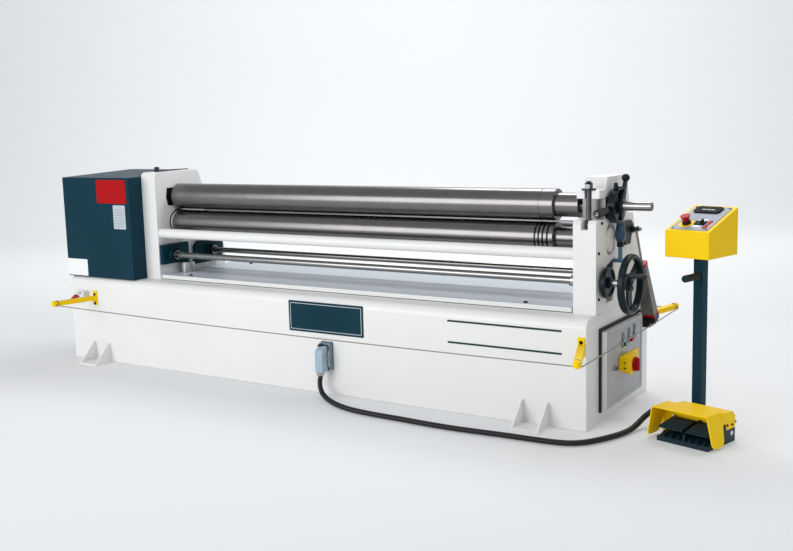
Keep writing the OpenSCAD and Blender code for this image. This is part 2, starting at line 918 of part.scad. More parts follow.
// Local frame of the sloped panel: X across, Y up the slope, Z outwards
module on_panel() {
    at_console()
        translate([0, -console_d / 2, console_front_z])
            rotate([console_slope, 0, 0])
                children();
}

module console_column() {
    plate_t = 8;
    grip_z = 590;
    grip_l = column_w / 2 + 95;
    color("darkslategray")
        at_console()
            union() {
                block([-100, -66, 0], [100, 114, plate_t]);
                block([-column_w / 2, -column_w / 2, plate_t - 1],
                    [column_w / 2, column_w / 2, console_z]);
                translate([0, 0, grip_z])
                    rotate([90, 0, 0])
                        cylinder(r = 12, h = grip_l);
            }
}

module console_box() {
    half = console_d / 2;
    color("gold")
        at_console()
            along_x(-console_w / 2, console_w)
                polygon([[-half, console_z], [half, console_z], [half, console_rear_z],
                    [-half, console_front_z]]);
}

stop_at = [-30, 54];
stop_travel = 5;
collar = [16, 18];

module console_panel() {
    display = [100, 50, 6];
    margin = 8;
    color("silver")
        on_panel()
            difference() {
                union() {
                    block([margin - console_w / 2, margin, 0],
                        [console_w / 2 - margin, 214, panel_t]);
                    translate([-56, 148, panel_t - 1])
                        cube(display);
                    translate([stop_at.x, stop_at.y, 0])
                        cylinder(r = collar[0], h = collar[1]);
                }
                translate([stop_at.x, stop_at.y, panel_t])
                    cylinder(r = 12, h = collar[1]);
            }
}

module emergency_stop() {
    stem_z = panel_t + stop_travel + 0.5;
    head_z = collar[1] + stop_travel + 3;
    color("red")
        on_panel()
            translate([stop_at.x, stop_at.y, 0])
                union() {
                    translate([0, 0, stem_z])
                        cylinder(r = 11.5, h = head_z - stem_z + 1);
                    translate([0, 0, head_z])
                        cylinder(r1 = 14, r2 = 20, h = 12);
                }
}

module selector() {
    color("black")
        on_panel()
            translate([30, 62, panel_t + 0.5])
                union() {
                    cylinder(r = 14, h = 6);
                    translate([-4, -13, 5])
                        cube([8, 26, 12]);
                }
}

// ------------------------------------------------------------ foot switch

module at_pedals() {
    translate(pedal_at)
        rotate([0, 0, pedal_turn])
            children();
}

pedal_u = [[4, 102], [116, 206]];
pedal_pin_r = 4;
sole_t = 18;
switch_l = 190;
block_h = 52;

module foot_switch_base() {
    lug_z = 70;
    lugs = [[0, 3.2], [103, 115], [207, 213]];
    rest_z = 30;
    color("black")
        at_pedals()
            difference() {
                union() {
                    block([0, 0, 0], [213, switch_l, sole_t]);
                    block([0, 126, sole_t - 1], [213, switch_l, block_h]);
                    for (u = lugs)
                        block([u[0], 102, sole_t - 1], [u[1], 127, lug_z]);
                    for (u = pedal_u)
                        along_x(u[0], u[1] - u[0])
                            polygon([[16, sole_t - 1], [127, sole_t - 1], [127, rest_z], [40, rest_z]]);
                    along_x(106, 6)
                        polygon([[6, sole_t - 1], [110, sole_t - 1], [110, 66], [30, 50], [10, 40]]);
                }
                rod_x(-1, 214, pedal_pivot, pedal_pin_r + eps);
            }
}

// Bent sheet with a tongue down each side, and the housing behind it
module foot_switch_hood() {
    top_z = 126;
    t = 4;
    depth = [4, 104];
    tongue_z = 9;
    color("gold")
        at_pedals()
            difference() {
                union() {
                    intersection() {
                        translate([0, depth[1], 0])
                            rotate([90, 0, 0])
                                linear_extrude(height = depth[1] - depth[0])
                                    polygon([[-46, tongue_z], [-27, top_z - 6], [-21, top_z],
                                        [201, top_z], [207, top_z - 6], [233, tongue_z],
                                        [229, tongue_z], [203, top_z - 7], [200, top_z - t],
                                        [-20, top_z - t], [-23, top_z - 7], [-42, tongue_z]]);
                        along_x(-60, 320)
                            polygon(concat(arc([24, tongue_z + 20], 20, 180, 270, 5),
                                arc([60, tongue_z + 28], 28, 270, 360, 6),
                                [[depth[1], top_z - 20], [depth[1], top_z], [depth[0], top_z]]));
                    }
                    translate([0, depth[1], 0])
                        rotate([90, 0, 0])
                            linear_extrude(height = t)
                                polygon([[-31, 80], [-24, top_z - 3], [204, top_z - 3], [214, 80]]);
                    along_x(gland_u, 205)
                        polygon([[98, 80], [124, 80], [124, block_h + eps], [switch_l, block_h + eps],
                            [switch_l, 98], [170, 117], [104, 121], [98, top_z - 3]]);
                }
                for (u = [[102, 116], [206, 214]])
                    block([u[0], 120, block_h - 1], [u[1], 128, 72]);
            }
}

module foot_pedal(u) {
    color("dimgray")
        at_pedals()
            union() {
                along_x(u[0], u[1] - u[0])
                    polygon([[8, 50], [12, 47], [100, 59], [118, 55], [118, 66], [100, 71], [12, 57],
                        [8, 54]]);
                rod_x(u[0] - 3, u[1] + 3, pedal_pivot, pedal_pin_r);
            }
}

module pedal_left() {
    foot_pedal(pedal_u[0]);
}

module pedal_right() {
    foot_pedal(pedal_u[1]);
}

// ------------------------------------------------------------------ nodes

base();
bed_plate();
foot_brackets();
gear_housing();
left_side_frame();
right_side_frame();
front_tie_bar();
gear_plates();
jack_post();
frame_stud();
rear_roll();
top_roll();
lower_bearings();
lower_roll();
shaft_bushes();
front_shaft_bar();  // front_shaft
dial_wheel();
hand_wheel();
crank_grip();
rear_shaft_bar();  // rear_shaft
drop_end_yoke();
top_bearing();
swing_bolt();
hub_drum();
hub_lever();
link_arm();
release_handle();
yoke_crank();
cylinder_rod();
cylinder_barrel();
cylinder_caps();
cylinder_bracket();
door_seal();
cabinet_door();
door_fittings();
start_button();
stop_button();
main_switch_box();
main_switch_knob();
wire_arms();
pull_wire();
pull_switch();
connector_housing();
connector_hood();
conduit();
console_column();
console_box();
console_panel();
emergency_stop();
selector();
foot_switch_base();
foot_switch_hood();
pedal_left();
pedal_right();
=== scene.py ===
"""Looks of a plate rolling machine: finishes, fittings and supply cable round its solids."""

import logging
import math
from dataclasses import dataclass, field
from enum import Enum
from typing import Sequence

import bmesh
import bpy
from mathutils import Matrix, Vector


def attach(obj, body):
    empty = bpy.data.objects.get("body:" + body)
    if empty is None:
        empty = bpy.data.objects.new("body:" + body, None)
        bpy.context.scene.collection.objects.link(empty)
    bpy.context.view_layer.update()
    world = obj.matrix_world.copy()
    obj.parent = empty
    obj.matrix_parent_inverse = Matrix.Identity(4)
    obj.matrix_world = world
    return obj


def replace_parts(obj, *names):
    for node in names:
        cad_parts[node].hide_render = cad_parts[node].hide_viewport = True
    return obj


LOG = logging.getLogger("plate_rolls")
MM = 0.001
SMOOTH_ANGLE = math.radians(35)
Point = Sequence[float]


class Body(Enum):
    """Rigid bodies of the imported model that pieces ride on."""

    MACHINE = "machine"
    TOP_ROLL = "top_roll"
    LOWER_CARRIAGE = "lower_carriage"
    LOWER_ROLL = "lower_roll"
    FRONT_SHAFT = "front_shaft"
    CRANK_GRIP = "crank_grip"
    REAR_SHAFT = "rear_shaft"
    SWING_BOLT = "swing_bolt"
    MAIN_SWITCH = "main_switch_knob"
    EMERGENCY_STOP = "emergency_stop"
    SELECTOR = "selector"
    START_BUTTON = "start_button"
    STOP_BUTTON = "stop_button"
    PEDAL_LEFT = "pedal_left"
    PEDAL_RIGHT = "pedal_right"


class Slot(Enum):
    """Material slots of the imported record."""

    WHITE_PAINT = "white_paint"
    GREY_PAINT = "grey_paint"
    TEAL_PAINT = "teal_paint"
    BLACK_PAINT = "black_paint"
    BLACK_RUBBER = "black_rubber"
    BLACK_PLASTIC = "black_plastic"
    BARE_STEEL = "bare_steel"
    BRONZE = "bronze"
    BLUE_PAINT = "blue_paint"
    GREY_ALLOY = "grey_alloy"
    RED_PAINT = "red_paint"
    YELLOW_PAINT = "yellow_paint"
    GREEN_PLASTIC = "green_plastic"
    RED_PLASTIC = "red_plastic"
    WIRE_JACKET = "wire_jacket"


# ---------------------------------------------------------------- helpers


def linear(colour: str) -> tuple[float, float, float, float]:
    """Turn an sRGB hex colour into linear RGBA.

    Args:
        colour: Six hex digits after a hash sign.

    Returns:
        Red, green, blue and alpha in linear light.
    """
    channels = [int(colour[i : i + 2], 16) / 255 for i in (1, 3, 5)]
    low, scale, offset, power = 0.04045, 12.92, 0.055, 2.4
    light = [c / scale if c <= low else ((c + offset) / (1 + offset)) ** power for c in channels]
    return (light[0], light[1], light[2], 1.0)


def per_metre(size: float) -> float:
    """Texture scale of a pattern whose features measure size millimetres."""
    return 1.0 / (size * MM)


def add_node(tree: bpy.types.NodeTree, kind: str, settings: dict | None = None,
             links: dict | None = None) -> bpy.types.Node:
    """Add a node to a tree with its settings and links.

    Args:
        tree: The shader or geometry tree.
        kind: The node's type name.
        settings: Values by input socket (name or index) or by property name.
        links: Output sockets by input socket (name or index).

    Returns:
        The new node.
    """
    new = tree.nodes.new(kind)
    for key, value in (settings or {}).items():
        if isinstance(key, int) or key in new.inputs:
            new.inputs[key].default_value = value
        else:
            setattr(new, key, value)
    for key, source in (links or {}).items():
        tree.links.new(source, new.inputs[key])
    return new


def placed(name: str, data: bpy.types.ID) -> bpy.types.Object:
    """Make an object of some data and link it to the scene.

    Args:
        name: The object's name.
        data: Its mesh, curve, light or camera.

    Returns:
        The new object.
    """
    made = bpy.data.objects.new(name, data)
    bpy.context.collection.objects.link(made)
    return made


def baked(made: bpy.types.Object) -> bpy.types.Mesh:
    """Give the plain mesh that an object's modifiers make of it."""
    view = made.evaluated_get(bpy.context.evaluated_depsgraph_get())
    return bpy.data.meshes.new_from_object(view)


def open_tree(name: str, inputs: dict[str, str]) -> bpy.types.NodeTree:
    """Start a geometry tree with its sockets.

    Args:
        name: The tree's name.
        inputs: Kind of each input, by its name; the first is the geometry.

    Returns:
        The new tree.
    """
    tree = bpy.data.node_groups.new(name, "GeometryNodeTree")
    for title, kind in inputs.items():
        tree.interface.new_socket(title, in_out="INPUT", socket_type=f"NodeSocket{kind}")
    tree.interface.new_socket("Geometry", in_out="OUTPUT", socket_type="NodeSocketGeometry")
    return tree


def close_tree(tree: bpy.types.NodeTree, made: bpy.types.NodeSocket,
               material: bpy.types.NodeSocket) -> None:
    """End a geometry tree: real geometry, its material, the output.

    Args:
        tree: The geometry tree.
        made: What it has made.
        material: The material's socket.
    """
    real = add_node(tree, "GeometryNodeRealizeInstances", links={0: made})
    dressed = add_node(tree, "GeometryNodeSetMaterial", links={
        "Geometry": real.outputs[0], "Material": material})
    add_node(tree, "NodeGroupOutput", links={"Geometry": dressed.outputs["Geometry"]})


def feed(modifier: bpy.types.Modifier, values: dict) -> None:
    """Give a geometry tree's modifier its values.

    Args:
        modifier: The modifier, with its tree set.
        values: Values by the name of the input.
    """
    for socket in modifier.node_group.interface.items_tree:
        if socket.in_out == "INPUT" and socket.name in values:
            modifier[socket.identifier] = values[socket.name]


def along(at: Point, direction: Point) -> Matrix:
    """Frame at a point whose Z axis runs along a direction.

    Args:
        at: The frame's origin, in millimetres.
        direction: Where its Z axis points.

    Returns:
        The frame's matrix.
    """
    turn = Vector(direction).normalized().to_track_quat("Z", "Y").to_matrix().to_4x4()
    return Matrix.Translation(Vector(at)) @ turn


def facing_x(x: float) -> Matrix:
    """Frame whose XY plane is the machine's YZ plane at x, with Z along +X."""
    turn = Matrix(((0, 0, 1, 0), (1, 0, 0, 0), (0, 1, 0, 0), (0, 0, 0, 1)))
    return Matrix.Translation((x, 0, 0)) @ turn


def facing_front(y: float) -> Matrix:
    """Frame whose XY plane is the machine's XZ plane at y, with Z towards the front."""
    turn = Matrix(((1, 0, 0, 0), (0, 0, -1, 0), (0, 1, 0, 0), (0, 0, 0, 1)))
    return Matrix.Translation((0, y, 0)) @ turn


def rounded(lo: Point, hi: Point, radius: float, steps: int = 6) -> list[tuple[float, float]]:
    """Outline of a rectangle with round corners.

    Args:
        lo: Lower left corner.
        hi: Upper right corner.
        radius: Radius of the corners.
        steps: Segments in each corner.

    Returns:
        Points in counter-clockwise order.
    """
    corners = [(hi[0] - radius, hi[1] - radius, 0), (lo[0] + radius, hi[1] - radius, 90),
               (lo[0] + radius, lo[1] + radius, 180), (hi[0] - radius, lo[1] + radius, 270)]
    points = []
    for x, y, start in corners:
        for i in range(steps + 1):
            angle = math.radians(start + 90 * i / steps)
            points.append((x + radius * math.cos(angle), y + radius * math.sin(angle)))
    return points


def ring_outline(radius: float, steps: int = 48, at: Point = (0, 0)) -> list[tuple[float, float]]:
    """Points of a circle, counter-clockwise.

    Args:
        radius: Radius of the circle.
        steps: Number of points.
        at: Centre of the circle.

    Returns:
        The points.
    """
    turns = [2 * math.pi * i / steps for i in range(steps)]
    return [(at[0] + radius * math.cos(t), at[1] + radius * math.sin(t)) for t in turns]


class Form:
    """A mesh put together from turned, extruded and swept solids, in millimetres."""

    def __init__(self) -> None:
        """Start with an empty mesh."""
        self.mesh = bmesh.new()

    def _shell(self, rings: list[list[Vector]], place: Matrix, hollow: bool = False) -> None:
        """Join rings of points with quads and close the shell.

        Args:
            rings: Rings of equally many points, from the first end to the last.
            place: The frame that the points are in.
            hollow: Whether the last ring joins the first, in place of two end faces.
        """
        made = [[self.mesh.verts.new(place @ p) for p in ring] for ring in rings]
        count = len(made[0])
        for low, high in zip(made, made[1:] + made[:1] if hollow else made[1:]):
            for i in range(count):
                j = (i + 1) % count
                self.mesh.faces.new((low[i], low[j], high[j], high[i]))
        if not hollow:
            self.mesh.faces.new(list(reversed(made[0])))
            self.mesh.faces.new(made[-1])

    def block(self, lo: Point, hi: Point, place: Matrix = Matrix()) -> "Form":
        """Add a box between two corners."""
        outline = [(lo[0], lo[1]), (hi[0], lo[1]), (hi[0], hi[1]), (lo[0], hi[1])]
        return self.prism(outline, lo[2], hi[2], place)

    def prism(self, outline: Sequence[Point], z0: float, z1: float,
              place: Matrix = Matrix()) -> "Form":
        """Add an outline extruded along its frame's Z axis.

        Args:
            outline: Counter-clockwise points in the frame's XY plane.
            z0: Where the prism starts.
            z1: Where it ends.
            place: The frame.

        Returns:
            The form, for the next call.
        """
        self._shell([[Vector((x, y, z)) for x, y in outline] for z in (z0, z1)], place)
        return self

    def loft(self, rings: Sequence[tuple[Sequence[Point], float]],
             place: Matrix = Matrix()) -> "Form":
        """Add a solid through a run of outlines.

        Args:
            rings: (outline, height) pairs whose outlines have equally many points.
            place: The frame.

        Returns:
            The form, for the next call.
        """
        self._shell([[Vector((x, y, z)) for x, y in outline] for outline, z in rings], place)
        return self

    def band(self, outer: Sequence[Point], inner: Sequence[Point], z0: float, z1: float,
             place: Matrix = Matrix()) -> "Form":
        """Add a flat ring between two outlines.

        Args:
            outer: Outer outline, counter-clockwise.
            inner: Inner outline, with equally many points.
            z0: Where the ring starts.
            z1: Where it ends.
            place: The frame.

        Returns:
            The form, for the next call.
        """
        loops = [(outer, z0), (outer, z1), (inner, z1), (inner, z0)]
        rings = [[Vector((x, y, z)) for x, y in outline] for outline, z in loops]
        self._shell(rings, place, hollow=True)
        return self

    def lathe(self, profile: Sequence[Point], place: Matrix, steps: int = 48) -> "Form":
        """Add a solid turned about its frame's Z axis.

        Args:
            profile: (height, radius) pairs, from the first end to the last.
            place: The frame.
            steps: Segments round the axis.

        Returns:
            The form, for the next call.
        """
        turns = [2 * math.pi * i / steps for i in range(steps)]
        rings = [[Vector((r * math.cos(t), r * math.sin(t), z)) for t in turns] for z, r in profile]
        self._shell(rings, place)
        return self

    def sweep(self, path: Sequence[Point], radius: float, place: Matrix = Matrix(),
              steps: int = 16) -> "Form":
        """Add a round bar along a path.

        Args:
            path: Points of the bar's centre line.
            radius: Radius of the bar.
            place: The frame.
            steps: Segments round the bar.

        Returns:
            The form, for the next call.
        """
        points = [Vector(p) for p in path]
        side = None
        rings = []
        for i, p in enumerate(points):
            ahead = (points[min(i + 1, len(points) - 1)] - points[max(i - 1, 0)]).normalized()
            if side is None:
                side = ahead.orthogonal().normalized()
            side = (side - ahead * side.dot(ahead)).normalized()
            up = ahead.cross(side)
            turns = [2 * math.pi * k / steps for k in range(steps)]
            rings.append([p + radius * (side * math.cos(t) + up * math.sin(t)) for t in turns])
        self._shell(rings, place)
        return self

    def raw(self, name: str) -> bpy.types.Object:
        """Turn the form into an object in metres, with closed faces that look outwards.

        Args:
            name: The object's name.

        Returns:
            The new object, without a finish.
        """
        bmesh.ops.scale(self.mesh, vec=(MM, MM, MM), verts=self.mesh.verts)
        bmesh.ops.remove_doubles(self.mesh, verts=self.mesh.verts, dist=1e-7)
        bmesh.ops.recalc_face_normals(self.mesh, faces=self.mesh.faces)
        data = bpy.data.meshes.new(name)
        self.mesh.to_mesh(data)
        self.mesh.free()
        return placed(name, data)

    def piece(self, name: str, finish: "Finish", body: Body = Body.MACHINE,
              bevel: float = 0.0) -> bpy.types.Object:
        """Turn the form into a finished piece that rides on a body.

        Args:
            name: The piece's name.
            finish: Its surface.
            body: The body it moves with.
            bevel: Width of its rounded edges, in millimetres.

        Returns:
            The new object.
        """
        return settle(self.raw(name), finish, body, bevel)


def settle(made: bpy.types.Object, finish: "Finish", body: Body,
           bevel: float) -> bpy.types.Object:
    """Round a piece's edges, shade it, give it its finish and put it on its body.

    Args:
        made: The object, at the origin, in metres.
        finish: Its surface.
        body: The body it moves with.
        bevel: Width of its rounded edges, in millimetres.

    Returns:
        The same object with a plain mesh.
    """
    if bevel:
        edge = made.modifiers.new("edges", "BEVEL")
        edge.width = bevel * MM
        edge.segments = 3
        edge.limit_method = "ANGLE"
        edge.angle_limit = SMOOTH_ANGLE
        edge.use_clamp_overlap = True
    made.data.shade_smooth()
    weigh = made.modifiers.new("normals", "WEIGHTED_NORMAL")
    weigh.keep_sharp = True
    if not bevel:
        made.data.set_sharp_from_angle(angle=SMOOTH_ANGLE)
    plain = baked(made)
    raw = made.data
    made.modifiers.clear()
    made.data = plain
    bpy.data.meshes.remove(raw)
    plain.name = made.name
    plain.materials.clear()
    plain.materials.append(finish.material())
    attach(made, body.value)
    LOG.info("%s: %d faces on %s", made.name, len(plain.polygons), body.value)
    return made


def dress(node: str, finish: "Finish") -> None:
    """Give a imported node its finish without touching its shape.

    Args:
        node: The node's name.
        finish: Its surface.
    """
    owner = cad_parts[node]
    owner.data.materials.clear()
    owner.data.materials.append(finish.material())
    LOG.info("%s dressed", node)


def soften(node: str, finish: "Finish", body: Body = Body.MACHINE,
           bevel: float = 1.5) -> bpy.types.Object:
    """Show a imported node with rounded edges, as a merged copy that stands for it.

    Args:
        node: The node's name.
        finish: Its surface.
        body: The body it moves with.
        bevel: Width of its rounded edges, in millimetres.

    Returns:
        The new piece.
    """
    work = bmesh.new()
    work.from_mesh(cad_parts[node].data)
    bmesh.ops.remove_doubles(work, verts=work.verts, dist=2e-5)
    flat = math.radians(0.5)
    bmesh.ops.dissolve_limit(work, angle_limit=flat, verts=work.verts, edges=work.edges,
                             use_dissolve_boundaries=False)
    data = bpy.data.meshes.new(f"{node}_skin")
    work.to_mesh(data)
    work.free()
    made = settle(placed(f"{node}_skin", data), finish, body, bevel)
    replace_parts(made, node)
    return made


# --------------------------------------------------------------- finishes


@dataclass(frozen=True)
class Finish:
    """A surface: what it is, its colour and how it shines."""

    name: str
    colour: str
    slot: Slot
    roughness: float = 0.4
    shade: str = "#DADAD6"

    def material(self) -> bpy.types.Material:
        """Give the finish's material, made at its first use.

        Returns:
            The material.
        """
        known = bpy.data.materials.get(self.name)
        if known:
            return known
        made = bpy.data.materials.new(self.name)
        made.use_nodes = True
        tree = made.node_tree
        tree.nodes.clear()
        shader = add_node(tree, "ShaderNodeBsdfPrincipled",
                          {"Base Color": linear(self.colour), "Roughness": self.roughness})
        add_node(tree, "ShaderNodeOutputMaterial", links={"Surface": shader.outputs["BSDF"]})
        place = add_node(tree, "ShaderNodeTexCoord").outputs["Object"]
        self.surface(tree, shader, place)
        return made

    def surface(self, tree: bpy.types.NodeTree, shader: bpy.types.Node,
                place: bpy.types.NodeSocket) -> None:
        """Add the finish's own pattern; each kind of finish has its own.

        Args:
            tree: The material's tree.
            shader: Its Principled shader.
            place: Object coordinates.
        """
        raise NotImplementedError

    def tones(self, tree: bpy.types.NodeTree, shader: bpy.types.Node,
              pattern: bpy.types.NodeSocket) -> None:
        """Blend the shade and the colour by a pattern.

        Args:
            tree: The material's tree.
            shader: Its Principled shader.
            pattern: The pattern, 0 for the shade and 1 for the colour.
        """
        mix = add_node(tree, "ShaderNodeMix", {"data_type": "RGBA"}, {"Factor": pattern})
        low, high = (socket for socket in mix.inputs if socket.type == "RGBA")
        low.default_value, high.default_value = linear(self.shade), linear(self.colour)
        mixed = next(socket for socket in mix.outputs if socket.type == "RGBA")
        tree.links.new(mixed, shader.inputs["Base Color"])

    def gloss(self, tree: bpy.types.NodeTree, shader: bpy.types.Node,
              pattern: bpy.types.NodeSocket, smoother: float, rougher: float) -> None:
        """Let a pattern vary the roughness.

        Args:
            tree: The material's tree.
            shader: Its Principled shader.
            pattern: The pattern, 0 to 1.
            smoother: What is taken off the roughness where it is 0.
            rougher: What is added to the roughness where it is 1.
        """
        rough = add_node(tree, "ShaderNodeMapRange",
                         {"To Min": self.roughness - smoother, "To Max": self.roughness + rougher},
                         {"Value": pattern})
        tree.links.new(rough.outputs["Result"], shader.inputs["Roughness"])

    @staticmethod
    def relief(tree: bpy.types.NodeTree, shader: bpy.types.Node,
               pattern: bpy.types.NodeSocket, depth_mm: float, strength: float) -> None:
        """Let a pattern stand out of the surface.

        Args:
            tree: The material's tree.
            shader: Its Principled shader.
            pattern: The pattern's height.
            depth_mm: How far it stands out, in millimetres.
            strength: How much of it shows.
        """
        bump = add_node(tree, "ShaderNodeBump", {"Distance": depth_mm * MM, "Strength": strength},
                        {"Height": pattern})
        tree.links.new(bump.outputs["Normal"], shader.inputs["Normal"])


@dataclass(frozen=True)
class Enamel(Finish):
    """Sprayed, stoved enamel on steel: a soft gloss over faint orange peel, dull where dusty."""

    peel_mm: float = 5.0
    peel_depth_mm: float = 0.05
    coat: float = 0.25
    specular: float = 0.5
    cloud_mm: float = 220.0
    patch_mm: float = 60.0
    spread: float = 0.07

    def surface(self, tree: bpy.types.NodeTree, shader: bpy.types.Node,
                place: bpy.types.NodeSocket) -> None:
        """Cloud the colour a little, roughen it in patches and dimple it.

        Args:
            tree: The material's tree.
            shader: Its Principled shader.
            place: Object coordinates.
        """
        cloud = add_node(tree, "ShaderNodeTexNoise",
                         {"Scale": per_metre(self.cloud_mm), "Detail": 4.0}, {"Vector": place})
        self.tones(tree, shader, cloud.outputs["Fac"])
        patch = add_node(tree, "ShaderNodeTexNoise",
                         {"Scale": per_metre(self.patch_mm), "Detail": 5.0}, {"Vector": place})
        self.gloss(tree, shader, patch.outputs["Fac"], self.spread, self.spread)
        # the real peel is about 2 mm across; it is drawn wider so that it shows
        peel = add_node(tree, "ShaderNodeTexNoise",
                        {"Scale": per_metre(self.peel_mm), "Detail": 2.0}, {"Vector": place})
        self.relief(tree, shader, peel.outputs["Fac"], self.peel_depth_mm, 0.6)
        shader.inputs["Coat Weight"].default_value = self.coat
        shader.inputs["Coat Roughness"].default_value = 0.12
        shader.inputs["Specular IOR Level"].default_value = self.specular


@dataclass(frozen=True)
class TurnedSteel(Finish):
    """Steel turned and ground about an axis: fine rings, broad oil bands, stretched glints."""

    shade: str = "#8C8680"
    axis: tuple[float, float, float] = (1.0, 0.0, 0.0)
    ring_mm: float = 2.5
    band_mm: float = 140.0
    film_mm: float = 45.0
    spread: float = 0.015
    ring_depth_mm: float = 0.002
    anisotropy: float = 0.4

    def surface(self, tree: bpy.types.NodeTree, shader: bpy.types.Node,
                place: bpy.types.NodeSocket) -> None:
        """Draw rings that vary along the axis alone, and a blotched film of oil.

        Args:
            tree: The material's tree.
            shader: Its Principled shader.
            place: Object coordinates.
        """
        shader.inputs["Metallic"].default_value = 1.0
        shader.inputs["Anisotropic"].default_value = self.anisotropy
        shader.inputs["Anisotropic Rotation"].default_value = 0.25
        # real turning marks are 0.2 mm apart; they are drawn coarser so that they show
        rings = add_node(tree, "ShaderNodeMapping", {"Scale": self.axis}, {"Vector": place})
        fine = add_node(tree, "ShaderNodeTexNoise",
                        {"Scale": per_metre(self.ring_mm), "Detail": 6.0, "Roughness": 0.7},
                        {"Vector": rings.outputs["Vector"]})
        broad = add_node(tree, "ShaderNodeTexNoise",
                         {"Scale": per_metre(self.band_mm), "Detail": 3.0},
                         {"Vector": rings.outputs["Vector"]})
        film = add_node(tree, "ShaderNodeTexNoise",
                        {"Scale": per_metre(self.film_mm), "Detail": 5.0}, {"Vector": place})
        half = add_node(tree, "ShaderNodeMath", {"operation": "MULTIPLY", 1: 0.5},
                        {0: broad.outputs["Fac"]})
        both = add_node(tree, "ShaderNodeMath", {"operation": "MULTIPLY_ADD", 1: 0.5},
                        {0: fine.outputs["Fac"], 2: half.outputs["Value"]})
        self.tones(tree, shader, both.outputs["Value"])
        self.gloss(tree, shader, film.outputs["Fac"], self.spread, self.spread)
        self.relief(tree, shader, fine.outputs["Fac"], self.ring_depth_mm, 0.4)
        letter = "XYZ"[self.axis.index(1.0)]
        turn = add_node(tree, "ShaderNodeTangent", {"direction_type": "RADIAL", "axis": letter})
        tree.links.new(turn.outputs["Tangent"], shader.inputs["Tangent"])


@dataclass(frozen=True)
class MilledSteel(Finish):
    """Milled, blackened or plated steel: even metal with a fine grain and handling marks."""

    shade: str = "#7A7A78"
    grain_mm: float = 3.0
    grain_depth_mm: float = 0.03

    def surface(self, tree: bpy.types.NodeTree, shader: bpy.types.Node,
                place: bpy.types.NodeSocket) -> None:
        """Mottle the metal and vary its gloss.

        Args:
            tree: The material's tree.
            shader: Its Principled shader.
            place: Object coordinates.
        """
        shader.inputs["Metallic"].default_value = 1.0
        # the real grain is about 0.5 mm; it is drawn coarser so that it shows
        mottle = add_node(tree, "ShaderNodeTexNoise",
                          {"Scale": per_metre(self.grain_mm * 4), "Detail": 6.0},
                          {"Vector": place})
        self.tones(tree, shader, mottle.outputs["Fac"])
        self.gloss(tree, shader, mottle.outputs["Fac"], 0.08, 0.1)
        grain = add_node(tree, "ShaderNodeTexNoise",
                         {"Scale": per_metre(self.grain_mm), "Detail": 3.0}, {"Vector": place})
        self.relief(tree, shader, grain.outputs["Fac"], self.grain_depth_mm, 0.5)


@dataclass(frozen=True)
class Moulded(Finish):
    """Moulded plastic or rubber: a fine leathery grain, matt on rubber and glossier on ABS."""

    shade: str = "#101112"
    drift_mm: float = 30.0
    grain_mm: float = 1.2
    grain_depth_mm: float = 0.03
    coat: float = 0.0
    specular: float = 0.5

    def surface(self, tree: bpy.types.NodeTree, shader: bpy.types.Node,
                place: bpy.types.NodeSocket) -> None:
        """Grain the skin and let its tone drift.

        Args:
            tree: The material's tree.
            shader: Its Principled shader.
            place: Object coordinates.
        """
        drift = add_node(tree, "ShaderNodeTexNoise",
                         {"Scale": per_metre(self.drift_mm), "Detail": 4.0}, {"Vector": place})
        self.tones(tree, shader, drift.outputs["Fac"])
        grain = add_node(tree, "ShaderNodeTexVoronoi", {"Scale": per_metre(self.grain_mm)},
                         {"Vector": place})
        self.relief(tree, shader, grain.outputs["Distance"], self.grain_depth_mm, 0.4)
        shader.inputs["Coat Weight"].default_value = self.coat
        shader.inputs["Specular IOR Level"].default_value = self.specular


# stoved enamel on sheet steel: bright, nearly neutral, with a soft gloss
WHITE = Enamel("stoved_white_enamel", "#EAEAE8", Slot.WHITE_PAINT, 0.4, shade="#E4E4E2", coat=0.1)
# the bed's white enamel, greyed blue as painted shade from the rolls above it
BED_SHADE_WHITE = Enamel("bed_enamel", "#C3CBD1", Slot.WHITE_PAINT, 0.42, shade="#B7C0C7", coat=0.0)
# powder coat on the cabinet door: mid grey, even and satin
DOOR_GREY = Enamel("grey_powder_coat", "#AEB0B3", Slot.GREY_PAINT, 0.42, shade="#9FA1A4",
                   coat=0.0)
# dark teal enamel: deep and almost matt, with little reflection
TEAL = Enamel("dark_teal_enamel", "#0C3644", Slot.TEAL_PAINT, 0.4, shade="#082F3C",
              coat=0.0, specular=0.1)
# blue-black enamel on the wheels and the hub: dark with a narrow sheen
NAVY_BLACK = Enamel("blue_black_enamel", "#14242B", Slot.BLACK_PAINT, 0.3, shade="#0C181D",
                    coat=0.0, specular=0.16)
# black enamel on the brackets: neutral and satin
BLACK = Enamel("black_enamel", "#0F1113", Slot.BLACK_PAINT, 0.36, shade="#090A0B",
               coat=0.0, specular=0.3)
# signal yellow powder coat: strong colour, faint highlight
YELLOW = Enamel("yellow_powder_coat", "#FCD408", Slot.YELLOW_PAINT, 0.42, shade="#F8CA06",
                coat=0.0, specular=0.12)
# red enamel on the cylinder's caps: clear red with a soft shine
RED = Enamel("red_enamel", "#B01420", Slot.RED_PAINT, 0.35, shade="#8E101A", coat=0.0,
             specular=0.25)
# blue enamel on the release handle: glossy
BLUE = Enamel("blue_enamel", "#1D4668", Slot.BLUE_PAINT, 0.28, shade="#173853", specular=0.5)
# thinner, paler blue on the handle's rod
LEVER_BLUE = Enamel("pale_blue_enamel", "#5D8CA6", Slot.BLUE_PAINT, 0.36, shade="#4F7C95")
